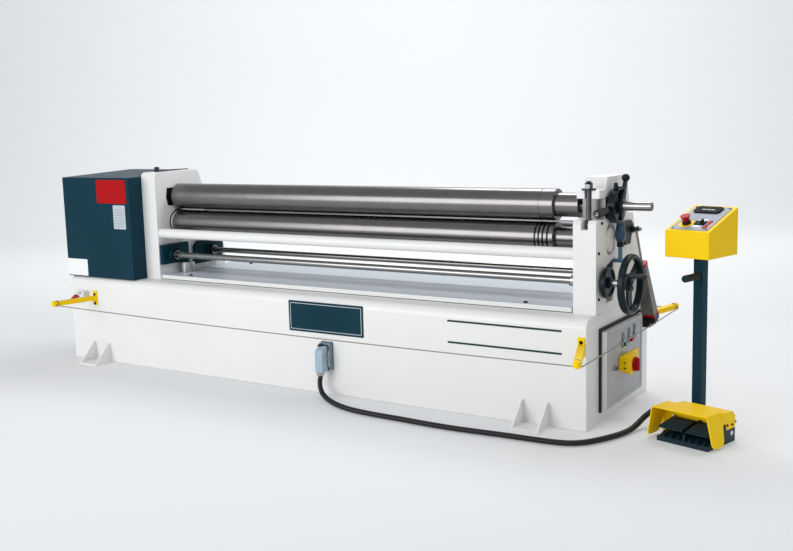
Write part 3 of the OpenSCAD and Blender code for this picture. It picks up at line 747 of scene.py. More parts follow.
# printed sign plates: flat colour, no shine; the sign white is also a painted highlight on the
# door's front edge
SIGN_RED = Enamel("red_sign_plate", "#AE1419", Slot.RED_PAINT, 0.5, shade="#A41015", coat=0.0,
                  specular=0.06)
WHITE_SIGN_AND_HIGHLIGHT = Enamel("white_sign_plate", "#F1F2F1", Slot.GREY_PAINT, 0.4, shade="#E9EAE9")
SIGN_GREY = Enamel("grey_sign_plate", "#B9C2C8", Slot.GREY_PAINT, 0.4, shade="#AEB8BF")
SIGN_DARK = Enamel("dark_sign_print", "#6F777E", Slot.GREY_PAINT, 0.45, shade="#676F76", coat=0.0)
# cool, dull grey on the legend plates; also painted shade at the back of the frame's window
WINDOW_GREY = Enamel("grey_primer", "#7E8B93", Slot.GREY_PAINT, 0.5, shade="#74818A", coat=0.0)
# film on the console's panel: pale blue-grey, dull
PANEL_GREY = Enamel("pale_panel_film", "#A3A8B2", Slot.GREY_PAINT, 0.45, shade="#9BA0AB",
                    coat=0.0, specular=0.12)
# painted stripes on the base: dark green, flat
STRIPE_GREEN = Enamel("dark_green_stripe", "#12382F", Slot.TEAL_PAINT, 0.4, shade="#0E2F27",
                      coat=0.0, specular=0.3)
# ground roll steel: warm grey with long stretched highlights
ROLL_STEEL = TurnedSteel("ground_roll_steel", "#878484", Slot.BARE_STEEL, 0.27, shade="#6A6768")
# steel darkened almost to black in the lower roll's grooves: painted shade
GROOVE_SHADE_STEEL = TurnedSteel("oiled_roll_steel", "#2B2B2D", Slot.BARE_STEEL, 0.4, shade="#1E1E20")
# the rear roll's steel, darkened as painted shade so that the gap between the rolls looks dark
REAR_ROLL_SHADE = TurnedSteel("worn_roll_steel", "#525153", Slot.BARE_STEEL, 0.36, shade="#3C3B3D")
# polished shafts: bright, with sharp bands
SHAFT_STEEL = TurnedSteel("polished_shaft_steel", "#A9A9A8", Slot.BARE_STEEL, 0.2,
                          shade="#807F7D")
# bearing bronze: dull gold
BRONZE = TurnedSteel("bearing_bronze", "#A98F60", Slot.BRONZE, 0.32, shade="#8A7146")
# polished swing bolt: mid grey with upright glints
BOLT_POLISH = TurnedSteel("polished_bolt_steel", "#6E7073", Slot.BARE_STEEL, 0.22,
                          shade="#4A4C4F", axis=(0.0, 0.0, 1.0))
# plated steel, from bright to dark: small hard glints
CHROME_DARK = MilledSteel("bright_plated_steel", "#85888B", Slot.BARE_STEEL, 0.2, shade="#5C5F62")
STUD_STEEL = MilledSteel("dark_plated_steel", "#54575B", Slot.BARE_STEEL, 0.22, shade="#2E3033")
ZINC = MilledSteel("zinc_plated_steel", "#C2C4C4", Slot.BARE_STEEL, 0.24, shade="#9A9DA0")
# blackened steel and oiled bolts: near black with a metal edge
BLACKENED = MilledSteel("blackened_steel", "#3A3D42", Slot.BLACK_PAINT, 0.3, shade="#1D1F22")
BOLT_BLACK = MilledSteel("oiled_bolt_steel", "#2A2B2D", Slot.BLACK_PAINT, 0.34, shade="#151617")
# anodised aluminium of the cylinder: warm satin grey
ALLOY = MilledSteel("anodised_aluminium", "#8C8784", Slot.GREY_ALLOY, 0.42, shade="#6F6B69")
# matt black: the display's film and the rocker's middle, and painted shade in the gaps, seams and
# recesses of the frames and the bed
BLACK_FILM_AND_SHADE = Moulded("matt_black_film", "#0B0D10", Slot.BLACK_PLASTIC, 0.6, shade="#08090B",
                     specular=0.08)
# rubber seals and grips: dull black, coarse grain
RUBBER = Moulded("black_rubber", "#121416", Slot.BLACK_RUBBER, 0.5, grain_mm=2.0, specular=0.35)
# moulded ABS knobs: black, a little glossier than rubber; also painted shade in the recesses round
# the rolls' ends
BLACK_ABS_AND_SHADE = Moulded("black_abs", "#101214", Slot.BLACK_PLASTIC, 0.38, specular=0.35)
# painted casting of the foot switch: blue-black, satin
PEDAL_BLACK = Moulded("blue_black_casting", "#17323D", Slot.BLACK_PLASTIC, 0.4, shade="#10252E",
                      specular=0.22)
# PVC conduit: black, with a line of light on each rib
CONDUIT_PVC = Moulded("black_pvc_conduit", "#13181C", Slot.BLACK_RUBBER, 0.32, shade="#0B0E11",
                      specular=0.35)
# push buttons and knobs: clear red and green ABS
RED_PLASTIC = Moulded("red_abs", "#B8101C", Slot.RED_PLASTIC, 0.4, shade="#A00D17", specular=0.1)
GREEN_PLASTIC = Moulded("green_abs", "#14694A", Slot.GREEN_PLASTIC, 0.25, shade="#0F5A3E",
                        coat=0.2)
# milky lens and switch caps: pale and glossy
CLEAR_LENS = Moulded("white_lens", "#DDE0E2", Slot.GREY_PAINT, 0.2, shade="#CDD1D4", coat=0.3)
# jacket of the pull wire: dull grey
WIRE_JACKET = Moulded("grey_wire_jacket", "#8B8781", Slot.WIRE_JACKET, 0.4, shade="#7C7872")
# die-cast connector: pale blue-grey hood on a darker housing
CONNECTOR_GREY = Moulded("pale_blue_grey_hood", "#A3B8C5", Slot.GREY_PAINT, 0.36, shade="#93AABA")
CONNECTOR_DARK = Moulded("blue_grey_housing", "#6E8494", Slot.GREY_PAINT, 0.36, shade="#627888")


# ----------------------------------------------------------------- studio


@dataclass
class Studio:
    """Camera, pale floor with its backdrop, and soft lights."""

    camera_mm: tuple[float, float, float] = (2909.6, -3940.7, 1214.1)
    yaw: float = 32.66
    pitch: float = -8.33
    roll: float = -1.56
    lens_mm: float = 46.27
    shift_y: float = -0.0076
    floor_colour: str = "#C9CACB"
    glow_colour: str = "#EDEEEF"
    glow: float = 0.22

    def camera(self) -> None:
        """Set up the camera at the machine's front right."""
        yaw, pitch, roll = (math.radians(a) for a in (self.yaw, self.pitch, self.roll))
        ahead = Vector((-math.sin(yaw) * math.cos(pitch), math.cos(yaw) * math.cos(pitch),
                        math.sin(pitch)))
        right = Vector((math.cos(yaw), math.sin(yaw), 0))
        up = right.cross(ahead)
        side = right * math.cos(roll) + up * math.sin(roll)
        top = up * math.cos(roll) - right * math.sin(roll)
        data = bpy.data.cameras.new("camera")
        data.sensor_width = 36.0
        data.lens = self.lens_mm
        data.shift_y = self.shift_y
        made = placed("camera", data)
        turn = Matrix((side, top, -ahead)).transposed().to_4x4()
        made.matrix_world = Matrix.Translation(Vector(self.camera_mm) * MM) @ turn
        bpy.context.scene.camera = made

    def floor(self) -> None:
        """Lay a pale floor that curves up into a backdrop behind the machine."""
        half, rear, height, radius, steps = 14.0, 9.0, 9.0, 3.0, 16
        profile = [(-12.0, 0.0), (rear - radius, 0.0)]
        for i in range(1, steps + 1):
            turn = math.pi / 2 * i / steps
            profile.append((rear - radius + radius * math.sin(turn), radius * (1 - math.cos(turn))))
        profile.append((rear, height))
        data = bpy.data.meshes.new("floor")
        yaw = Matrix.Rotation(math.radians(self.yaw), 4, "Z")
        points = [yaw @ Vector((x, y, z - 0.0005)) for y, z in profile for x in (-half, half)]
        faces = [(2 * i, 2 * i + 1, 2 * i + 3, 2 * i + 2) for i in range(len(profile) - 1)]
        data.from_pydata(points, [], faces)
        data.shade_smooth()
        made = placed("floor", data)
        paper = bpy.data.materials.new("backdrop_paper")
        paper.use_nodes = True
        shader = paper.node_tree.nodes["Principled BSDF"]
        shader.inputs["Base Color"].default_value = linear(self.floor_colour)
        shader.inputs["Emission Color"].default_value = linear(self.glow_colour)
        shader.inputs["Emission Strength"].default_value = self.glow
        shader.inputs["Roughness"].default_value = 1.0
        shader.inputs["Specular IOR Level"].default_value = 0.0
        data.materials.append(paper)

    def light(self, name: str, at: Point, towards: Point, size: tuple[float, float],
              power: float) -> None:
        """Hang one soft box.

        Args:
            name: The light's name.
            at: Its place, in metres.
            towards: The point that it faces, in metres.
            size: Its width and height, in metres.
            power: Its power, in watts.
        """
        data = bpy.data.lights.new(name, "AREA")
        data.shape = "RECTANGLE"
        data.size, data.size_y = size
        data.energy = power
        made = placed(name, data)
        made.location = at
        made.rotation_euler = (Vector(towards) - Vector(at)).to_track_quat("-Z", "Y").to_euler()

    def lights(self) -> None:
        """Hang the soft boxes and set the room's own light."""
        self.light("key", (-2.1, -6.1, 2.2), (0.4, 0.0, 0.7), (4.6, 3.6), 222)
        self.light("top_rear", (0.6, 2.1, 4.0), (0.2, -0.2, 0.2), (4.4, 1.5), 140)
        self.light("side", (6.5, -2.0, 2.6), (1.4, 0.0, 0.5), (2.5, 2.5), 24)
        self.light("inner", (1.2, -1.6, 2.6), (-0.95, -0.1, 0.7), (0.9, 0.9), 9)
        self.light("backdrop", (-1.0, 3.5, 4.2), (-3.5, 7.5, 1.5), (9.0, 2.0), 290)
        world = bpy.data.worlds.new("room")
        world.use_nodes = True
        world.node_tree.nodes["Background"].inputs["Color"].default_value = linear("#E6EAF0")
        world.node_tree.nodes["Background"].inputs["Strength"].default_value = 0.58
        scene = bpy.context.scene
        scene.world = world
        scene.view_settings.view_transform = "Standard"
        scene.view_settings.look = "None"

    def build(self) -> None:
        """Set up the whole studio."""
        self.camera()
        self.floor()
        self.lights()


# ----------------------------------------------------------- supply cable


@dataclass
class SupplyCable:
    """Ribbed conduit from the socket on the base to the foot switch."""

    diameter: float = 25.0
    pitch: float = 5.0
    groove: float = 1.1
    sides: int = 20
    route: list[tuple[float, float, float]] = field(default_factory=lambda: [
        (224, -401, 112.95), (224, -401, 98), (219, -401, 72), (222, -405, 48), (238, -416, 28),
        (269, -437, 17), (318, -470, 13), (390, -512, 13), (483, -545, 13), (600, -560, 13),
        (741, -566, 13), (860, -573, 13), (981, -576, 13), (1090, -571, 13), (1193, -564, 13),
        (1300, -560, 13),
        (1398, -555, 13), (1465, -540, 13), (1514, -505, 13), (1548, -455, 13), (1575, -402, 13),
        (1597, -345, 13), (1612, -285, 15), (1622, -232, 25), (1635, -190, 44), (1655, -160, 62),
        (1680, -143, 74), (1726.6, -145.7, 79), (1755.6, -153.4, 80), (1774.9, -158.6, 80)])

    def smooth_route(self) -> list[Vector]:
        """Lay a smooth curve through the route.

        Returns:
            Points a few millimetres apart along it, in metres.
        """
        points = [Vector(p) * MM for p in self.route]
        padded = [points[0] * 2 - points[1], *points, points[-1] * 2 - points[-2]]
        dense = []
        steps = 12
        for a, b, c, d in zip(padded, padded[1:], padded[2:], padded[3:]):
            for i in range(steps):
                t = i / steps
                dense.append(0.5 * (2 * b + (c - a) * t + (2 * a - 5 * b + 4 * c - d) * t * t
                                    + (3 * b - a - 3 * c + d) * t ** 3))
        dense.append(points[-1])
        return dense

    def tree(self) -> bpy.types.NodeTree:
        """Make the tree that sweeps a circle along a curve and rings it with ribs.

        Returns:
            The geometry tree.
        """
        tree = open_tree("ribbed_conduit", {
            "Geometry": "Geometry", "Radius": "Float", "Pitch": "Float", "Groove": "Float",
            "Sides": "Int", "Material": "Material"})
        given = add_node(tree, "NodeGroupInput").outputs
        step = add_node(tree, "ShaderNodeMath", {"operation": "DIVIDE", 1: 4.0},
                        {0: given["Pitch"]})
        fine = add_node(tree, "GeometryNodeResampleCurve", {"mode": "LENGTH"},
                        {"Curve": given["Geometry"], "Length": step.outputs["Value"]})
        travelled = add_node(tree, "GeometryNodeSplineParameter").outputs["Length"]
        turns = add_node(tree, "ShaderNodeMath", {"operation": "DIVIDE"},
                         {0: travelled, 1: given["Pitch"]})
        phase = add_node(tree, "ShaderNodeMath", {"operation": "MULTIPLY", 1: 2 * math.pi},
                         {0: turns.outputs["Value"]})
        wave = add_node(tree, "ShaderNodeMath", {"operation": "COSINE"},
                        {0: phase.outputs["Value"]})
        dip = add_node(tree, "ShaderNodeMath", {"operation": "SUBTRACT", 1: 1.0},
                       {0: wave.outputs["Value"]})
        depth = add_node(tree, "ShaderNodeMath", {"operation": "MULTIPLY"},
                         {0: dip.outputs["Value"], 1: given["Groove"]})
        half = add_node(tree, "ShaderNodeMath", {"operation": "MULTIPLY", 1: 0.5},
                        {0: depth.outputs["Value"]})
        radius = add_node(tree, "ShaderNodeMath", {"operation": "ADD"},
                          {0: given["Radius"], 1: half.outputs["Value"]})
        outline = add_node(tree, "GeometryNodeCurvePrimitiveCircle", {"Radius": 1.0},
                           {"Resolution": given["Sides"]})
        tube = add_node(tree, "GeometryNodeCurveToMesh", {"Fill Caps": True},
                        {"Curve": fine.outputs["Curve"], "Profile Curve": outline.outputs["Curve"],
                         "Scale": radius.outputs["Value"]})
        smooth = add_node(tree, "GeometryNodeSetShadeSmooth", {"Shade Smooth": True},
                          {0: tube.outputs["Mesh"]})
        close_tree(tree, smooth.outputs[0], given["Material"])
        return tree

    def build(self) -> bpy.types.Object:
        """Returns:
            The conduit, a plain mesh.
        """
        path = self.smooth_route()
        curve = bpy.data.curves.new("conduit_line", "CURVE")
        curve.dimensions = "3D"
        spline = curve.splines.new("POLY")
        spline.points.add(len(path) - 1)
        for point, place in zip(spline.points, path):
            point.co = (*place, 1.0)
        line = placed("conduit_line", curve)
        ribs = line.modifiers.new("ribs", "NODES")
        ribs.node_group = self.tree()
        feed(ribs, {"Radius": (self.diameter / 2 - self.groove) * MM, "Pitch": self.pitch * MM,
                    "Groove": self.groove * MM, "Sides": self.sides,
                    "Material": CONDUIT_PVC.material()})
        data = baked(line)
        bpy.data.objects.remove(line)
        made = placed("supply_conduit", data)
        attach(made, Body.MACHINE.value)
        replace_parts(made, "conduit")
        return made


# ------------------------------------------------------------ the machine


@dataclass
class Skins:
    """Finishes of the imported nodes, with rounded edges where the real part has them."""

    painted: dict[str, tuple[Finish, float]] = field(default_factory=lambda: {
        "base": (WHITE, 4.0), "bed_plate": (BED_SHADE_WHITE, 2.0), "foot_brackets": (WHITE, 1.0),
        "left_side_frame": (WHITE, 3.0), "right_side_frame": (WHITE, 3.0),
        "front_tie_bar": (WHITE, 0.0), "drop_end_yoke": (WHITE, 3.0),
        "gear_housing": (TEAL, 3.0), "gear_plates": (TEAL, 1.5), "console_column": (TEAL, 2.0),
        "cabinet_door": (DOOR_GREY, 2.0), "console_box": (YELLOW, 3.0),
        "wire_arms": (YELLOW, 0.8),
        "foot_switch_hood": (YELLOW, 1.2), "foot_switch_base": (PEDAL_BLACK, 1.5),
        "cylinder_barrel": (ALLOY, 0.8), "cylinder_caps": (RED, 1.5),
        "cylinder_bracket": (BLACK, 1.5), "door_seal": (RUBBER, 2.0),
        "connector_hood": (CONNECTOR_GREY, 4.0),
        "top_bearing": (ROLL_STEEL, 1.0), "link_arm": (BLACK, 1.0), "hub_drum": (NAVY_BLACK, 1.0),
        "hub_lever": (NAVY_BLACK, 1.0), "release_handle": (BLUE, 1.5), "yoke_crank": (BLACK, 1.5),
        "cylinder_rod": (SHAFT_STEEL, 0.5), "jack_post": (ZINC, 1.0),
        "frame_stud": (STUD_STEEL, 0.5),
        "rear_roll": (REAR_ROLL_SHADE, 0.0), "shaft_bushes": (BRONZE, 0.5),
        "door_fittings": (ZINC, 0.5),
        "connector_housing": (CONNECTOR_DARK, 3.0)})
    moving: dict[str, tuple[Finish, Body, float]] = field(default_factory=lambda: {
        "top_roll": (ROLL_STEEL, Body.TOP_ROLL, 0.0),
        "lower_roll": (ROLL_STEEL, Body.LOWER_ROLL, 0.0),
        "lower_bearings": (WHITE, Body.LOWER_CARRIAGE, 0.5),
        "front_shaft": (SHAFT_STEEL, Body.FRONT_SHAFT, 0.5),
        "rear_shaft": (SHAFT_STEEL, Body.REAR_SHAFT, 0.5),
        "dial_wheel": (NAVY_BLACK, Body.FRONT_SHAFT, 1.5),
        "hand_wheel": (NAVY_BLACK, Body.FRONT_SHAFT, 0.0),
        "crank_grip": (BLACK_ABS_AND_SHADE, Body.CRANK_GRIP, 1.0),
        "emergency_stop": (RED_PLASTIC, Body.EMERGENCY_STOP, 2.0),
        "selector": (BLACK_ABS_AND_SHADE, Body.SELECTOR, 1.0),
        "start_button": (GREEN_PLASTIC, Body.START_BUTTON, 1.0),
        "stop_button": (RED_PLASTIC, Body.STOP_BUTTON, 1.0),
        "pedal_left": (PEDAL_BLACK, Body.PEDAL_LEFT, 2.0),
        "pedal_right": (PEDAL_BLACK, Body.PEDAL_RIGHT, 2.0)})

    def build(self) -> None:
        """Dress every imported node."""
        for node, (finish, bevel) in self.painted.items():
            soften(node, finish, Body.MACHINE, bevel)
        for node, (finish, body, bevel) in self.moving.items():
            soften(node, finish, body, bevel)
        dress("pull_wire", WIRE_JACKET)


# ------------------------------------------------------------- fasteners


class Head(Enum):
    """Kinds of screw head."""

    DOME = "dome"
    SOCKET = "socket"
    HEX = "hex"
    NUT = "nut"


def hexagon(radius: float, steps: int = 24) -> list[tuple[float, float]]:
    """Points of a hexagon with its corners on a circle, evenly spread by angle.

    Args:
        radius: Radius of the circle through its corners.
        steps: Number of points, a multiple of six.

    Returns:
        The points, counter-clockwise.
    """
    points = []
    flat = radius * math.cos(math.pi / 6)
    for i in range(steps):
        turn = 2 * math.pi * i / steps
        reach = flat / math.cos((turn % (math.pi / 3)) - math.pi / 6)
        points.append((reach * math.cos(turn), reach * math.sin(turn)))
    return points


@dataclass
class Screws:
    """One group of equal screws: their heads, places and direction."""

    name: str
    head: Head
    radius: float
    points: list[tuple[float, float, float]]
    facing: tuple[float, float, float]
    finish: Finish
    body: Body = Body.MACHINE

    def shape(self) -> bpy.types.Object:
        """Make one head standing on the origin, with its foot sunk by a millimetre.

        Returns:
            The head, a temporary object.
        """
        r, steps = self.radius, 24
        sunk = (ring_outline(r, steps), -1.0)
        if self.head is Head.DOME:
            rings = [sunk, (ring_outline(r, steps), 0.15 * r),
                     (ring_outline(0.85 * r, steps), 0.42 * r),
                     (ring_outline(0.55 * r, steps), 0.6 * r),
                     (ring_outline(0.2 * r, steps), 0.66 * r)]
        elif self.head is Head.SOCKET:
            rings = [sunk, (ring_outline(r, steps), 0.7 * r),
                     (ring_outline(0.9 * r, steps), 0.8 * r),
                     (ring_outline(0.68 * r, steps), 0.8 * r), (hexagon(0.58 * r), 0.74 * r),
                     (hexagon(0.55 * r), 0.25 * r)]
        else:
            rings = [(ring_outline(1.3 * r, steps), -1.0), (ring_outline(1.3 * r, steps), 0.14 * r),
                     (hexagon(r), 0.15 * r), (hexagon(r), 0.95 * r),
                     (ring_outline(0.84 * r, steps), 1.1 * r)]
            if self.head is Head.NUT:
                rings += [(ring_outline(0.55 * r, steps), 1.1 * r),
                          (ring_outline(0.55 * r, steps), 1.6 * r),
                          (ring_outline(0.45 * r, steps), 1.75 * r)]
        return Form().loft(rings).raw(f"{self.name}_head")

    @staticmethod
    def tree() -> bpy.types.NodeTree:
        """Make the tree that sets a head on every point, each turned its own way.

        Returns:
            The geometry tree, shared by every group of screws.
        """
        known = bpy.data.node_groups.get("screw_heads")
        if known:
            return known
        tree = open_tree("screw_heads", {
            "Geometry": "Geometry", "Head": "Object", "Facing": "Vector",
            "Material": "Material"})
        given = add_node(tree, "NodeGroupInput").outputs
        head = add_node(tree, "GeometryNodeObjectInfo", links={"Object": given["Head"]})
        upright = add_node(tree, "FunctionNodeAlignRotationToVector", {"axis": "Z"},
                           {"Vector": given["Facing"]})
        chance = add_node(tree, "FunctionNodeRandomValue", {"data_type": "FLOAT", "Seed": 11})
        floats = [s for s in chance.inputs if s.type == "VALUE"]
        floats[0].default_value, floats[1].default_value = 0.0, 2 * math.pi
        number = next(s for s in chance.outputs if s.type == "VALUE")
        spin = add_node(tree, "FunctionNodeAxisAngleToRotation", {"Axis": (0, 0, 1)},
                        {"Angle": number})
        turned = add_node(tree, "FunctionNodeRotateRotation", {"rotation_space": "LOCAL"},
                          {"Rotation": upright.outputs["Rotation"],
                           "Rotate By": spin.outputs["Rotation"]})
        heads = add_node(tree, "GeometryNodeInstanceOnPoints",
                         links={"Points": given["Geometry"], "Instance": head.outputs["Geometry"],
                                "Rotation": turned.outputs["Rotation"]})
        close_tree(tree, heads.outputs["Instances"], given["Material"])
        return tree

    def build(self) -> bpy.types.Object:
        """Set the heads and turn them into one plain piece.

        Returns:
            The finished piece.
        """
        head = self.shape()
        data = bpy.data.meshes.new(self.name)
        data.from_pydata([Vector(p) * MM for p in self.points], [], [])
        made = placed(self.name, data)
        heads = made.modifiers.new("heads", "NODES")
        heads.node_group = self.tree()
        feed(heads, {"Head": head, "Facing": self.facing, "Material": self.finish.material()})
        plain = baked(made)
        made.modifiers.clear()
        made.data = plain
        bpy.data.meshes.remove(data)
        bpy.data.objects.remove(head)
        return settle(made, self.finish, self.body, 0.0)


# -------------------------------------------------------- fittings by place


AT_CONSOLE = Matrix.Translation((1802, -40, 0)) @ Matrix.Rotation(math.radians(-15), 4, "Z")
ON_PANEL = (AT_CONSOLE @ Matrix.Translation((0, -104.5, 771))
            @ Matrix.Rotation(math.atan2(80, 209), 4, "X"))
AT_PEDALS = Matrix.Translation((1725, -315, 0)) @ Matrix.Rotation(math.radians(-14.9), 4, "Z")


def on(place: Matrix, points: Sequence[Point]) -> list[tuple[float, float, float]]:
    """Points of a frame in the machine's own frame."""
    return [tuple(place @ Vector(p)) for p in points]


@dataclass
class Plate:
    """A thin blank plate with round corners and, where it has one, a thin raised border."""

    name: str
    lo: tuple[float, float]
    hi: tuple[float, float]
    place: Matrix
    finish: Finish
    border: Finish | None = None
    thickness: float = 1.6
    radius: float = 5.0
    inset: float = 7.0
    line: float = 2.2

    def build(self) -> None:
        """Make the plate and its border line."""
        t = self.thickness
        Form().prism(rounded(self.lo, self.hi, self.radius), -0.5, t, self.place).piece(
            self.name, self.finish, bevel=0.4)
        if self.border:
            a, b, r = self.inset, self.inset + self.line, self.radius * 0.6
            outer = rounded((self.lo[0] + a, self.lo[1] + a), (self.hi[0] - a, self.hi[1] - a), r)
            inner = rounded((self.lo[0] + b, self.lo[1] + b), (self.hi[0] - b, self.hi[1] - b),
                            r / 2)
            Form().band(outer, inner, t - 0.3, t + 0.4, self.place).piece(
                f"{self.name}_border", self.border)


@dataclass
class BaseBox:
    """Base: blank plates, painted stripes and the bolts of its bed and brackets."""

    front: float = -350.0
    housing_front: float = -340.0
    bed_top: float = 464.0

    def build(self) -> None:
        """Fit the plates, the stripes and the bolts."""
        front, housing = facing_front(self.front), facing_front(self.housing_front)
        Plate("name_plate", (19, 277), (429, 417), front, TEAL, SIGN_GREY, thickness=2.5,
              inset=9.0, line=3.0).build()
        Plate("red_sign", (-1221, 832), (-1008, 952), housing, SIGN_RED).build()
        Plate("data_plate", (-1107, 702), (-1020, 824), housing, SIGN_GREY).build()
        Plate("notice_plate", (-1477, 447), (-1326, 534), housing, WHITE_SIGN_AND_HIGHLIGHT).build()
        rules = Form()
        for z in (716, 730, 744, 758, 772, 786, 800):
            rules.block((-1098, z, 1.5), (-1030, z + 1.4, 2.0), housing)
        rules.piece("data_plate_rules", SIGN_DARK)
        stripes = Form()
        for z in (386, 296):
            stripes.prism(rounded((850, z), (1358, z + 8), 2.0), -0.4, 0.8, front)
        stripes.piece("base_stripes", STRIPE_GREEN)
        # the bed's own white on its front face, below its top in painted shade
        Form().block((-890, -238.6, 444.5), (1352, -236.6, 463)).piece(
            "bed_front_edge", WHITE, bevel=0.6)
        # painted shadow: a black strip in the gap under the bed's front edge
        Form().block((-890, -238.2, 441.6), (1352, -236.6, 444)).piece("bed_seam", BLACK_FILM_AND_SHADE)
        Screws("bed_bolts", Head.DOME, 10.0,
               [(-724, -201, self.bed_top), (1140, -211, self.bed_top),
                (-724, 262, self.bed_top), (1140, 262, self.bed_top)],
               (0, 0, 1), BOLT_BLACK).build()


@dataclass
class GuardFittings:
    """Pull-wire guard: bolts of its arms, its switch box and the lever the wire works."""

    left: float = -1272.0
    right: float = 1440.0
    depth: float = 350.0
    flange: float = 6.0
    bolt_heights: tuple[float, float] = (354.0, 306.0)
    wire_height: float = 335.0
    clamp_inset: float = 14.0

    def build(self) -> None:
        """Fit the bolts, the box and the lever."""
        for name, side in (("arm_bolts_front", -1), ("arm_bolts_rear", 1)):
            points = [(x, side * (self.depth + self.flange), z)
                      for x in (self.left, self.right) for z in self.bolt_heights]
            Screws(name, Head.DOME, 7.5, points, (0, side, 0), BOLT_BLACK).build()
        clamps, bands = Form(), Form()
        arms = (((self.left, -self.depth), (-1324, -576)),
                ((self.right, -self.depth), (1533, -620)),
                ((self.right, self.depth), (1500, 625)),
                ((self.left, self.depth), (-1324, 590)))
        for (root_x, root_y), (tip_x, tip_y) in arms:
            out = Vector((tip_x - root_x, tip_y - root_y, 0)).normalized()
            tip = Vector((tip_x, tip_y, self.wire_height))
            at = along(tip - out * self.clamp_inset, out)
            clamps.lathe([(0, 11), (3, 15.5), (15, 15.5), (21, 12), (24, 6)], at, 32)
            bands.lathe([(-7, 13.5), (-6, 15.8), (0, 15.8), (1, 13.5)], at, 32)
        clamps.piece("arm_clamps", YELLOW)
        bands.piece("arm_bands", BRONZE)
        box = facing_front(-self.depth)
        Form().prism(rounded((-1388, 328), (-1325, 370), 6), 0, 31, box).piece(
            "pull_switch_box", CLEAR_LENS, bevel=2.0)
        Form().prism(ring_outline(5, 24, (-1365, 340)), 30, 32, box).prism(
            rounded((-1362, 356), (-1346, 362), 2), 30, 31.6, box).piece(
            "pull_switch_marks", BLACK_ABS_AND_SHADE, bevel=0.3)
        lever = Form().prism([(-1436, 316), (-1374, 318), (-1372, 350), (-1388, 350)],
                             34, 40, box)
        lever.prism(rounded((-1392, 322), (-1374, 346), 4), -0.5, 36, box)
        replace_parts(lever.piece("pull_switch_lever", RED, bevel=1.0), "pull_switch")


@dataclass
class FrameFittings:
    """Side frames: seals at the rolls' ends, painted shade in their recesses, the bosses, the
    window and the grooves, and small screws.
    """

    inner: float = -891.0
    outer: float = 1458.0
    boss_end: float = -845.0
    roll_y: float = -95.0
    top_z: float = 857.0
    low_z: float = 722.0
    shafts: tuple[tuple[float, float], ...] = ((-172, 561), (108, 555))
    grooves: tuple[float, ...] = (1157, 1174, 1192, 1212)
    groove_half: float = 3.9
    collar: tuple[float, float] = (1326, 1348)
    window_depth: float = 28.5

    def build(self) -> None:
        """Fit the seals, the painted shade and the screws."""
        face, end = facing_x(self.inner), facing_x(self.boss_end)
        # painted shade: a black plate over the recess round the top roll's end
        lining = [(-83, 0), (-71, -45), (71, -45), (83, 0), (74, 46), (-74, 46)]
        outline = [(self.roll_y + y, self.top_z + z) for y, z in lining]
        Form().prism(outline, -0.5, 1.5, face).piece("roll_recess_lining", BLACK_ABS_AND_SHADE, bevel=0.4)
        at = Matrix.Translation((self.inner, self.roll_y, self.low_z)) @ facing_x(0)
        Form().prism(ring_outline(68, 64), -0.2, 1.2, at).piece(
            "lower_roll_shadow_ring", BLACK_ABS_AND_SHADE, Body.LOWER_CARRIAGE)
        Form().lathe([(1.0, 60), (7.0, 60), (8.5, 58), (8.5, 47), (1.0, 47)], at, 64).piece(
            "lower_roll_seal", WHITE, Body.LOWER_CARRIAGE)
        # painted shade: flat black rings in the bosses' recesses round the shafts
        rings, recess = Form(), Form()
        for at_shaft in self.shafts:
            bore = ring_outline(16.5, 48, at_shaft)
            rings.band(ring_outline(26, 48, at_shaft), bore, -0.5, 8, end)
            recess.band(ring_outline(34.4, 48, at_shaft), bore, -0.5, 0.8, end)
        rings.piece("boss_rings", CHROME_DARK, bevel=1.0)
        recess.piece("boss_faces", BLACK_FILM_AND_SHADE)
        start, stop = self.collar
        Form().lathe([(start, 15.2), (start, 23), (stop, 23), (stop, 15.2)],
                     along((0, *self.shafts[0]), (1, 0, 0)), 48).piece(
            "shaft_collar", ZINC, Body.FRONT_SHAFT, 1.0)
        # painted shade in the frame's window: a grey back plate and a black wedge at its top
        window = facing_x(self.outer - self.window_depth)
        Form().prism([(-140.6, 472.4), (-65.4, 472.4), (-65.4, 641.6), (-140.6, 621.6)], 0, 2,
                     window).piece("window_back", WINDOW_GREY)
        Form().prism([(-140.6, 590), (-65.4, 590), (-65.4, 641.6), (-140.6, 621.6)], 1, 26,
                     window).piece("window_gap", BLACK_FILM_AND_SHADE, bevel=1.0)
        bearing = facing_x(self.outer) @ Matrix.Translation((-112, self.low_z, 0))
        Form().band(ring_outline(25.5, 48), ring_outline(23.5, 48), 0, 1.6, bearing).piece(
            "bearing_ring", WHITE_SIGN_AND_HIGHLIGHT)
        shade = Form()
        for x in self.grooves:
            low, high = x - self.groove_half, x + self.groove_half
            shade.lathe([(low, 59.5), (low, 62.6), (high, 62.6), (high, 59.5)],
                        along((0, self.roll_y, self.low_z), (1, 0, 0)), 96)
        shade.piece("groove_shade", GROOVE_SHADE_STEEL, Body.LOWER_ROLL)
        Screws("frame_screws", Head.SOCKET, 6.0,
               [(self.outer, -192, 796), (self.outer, -223, 681), (self.outer, 168, 560),
                (self.outer, -223, 500)], (1, 0, 0), BOLT_BLACK).build()


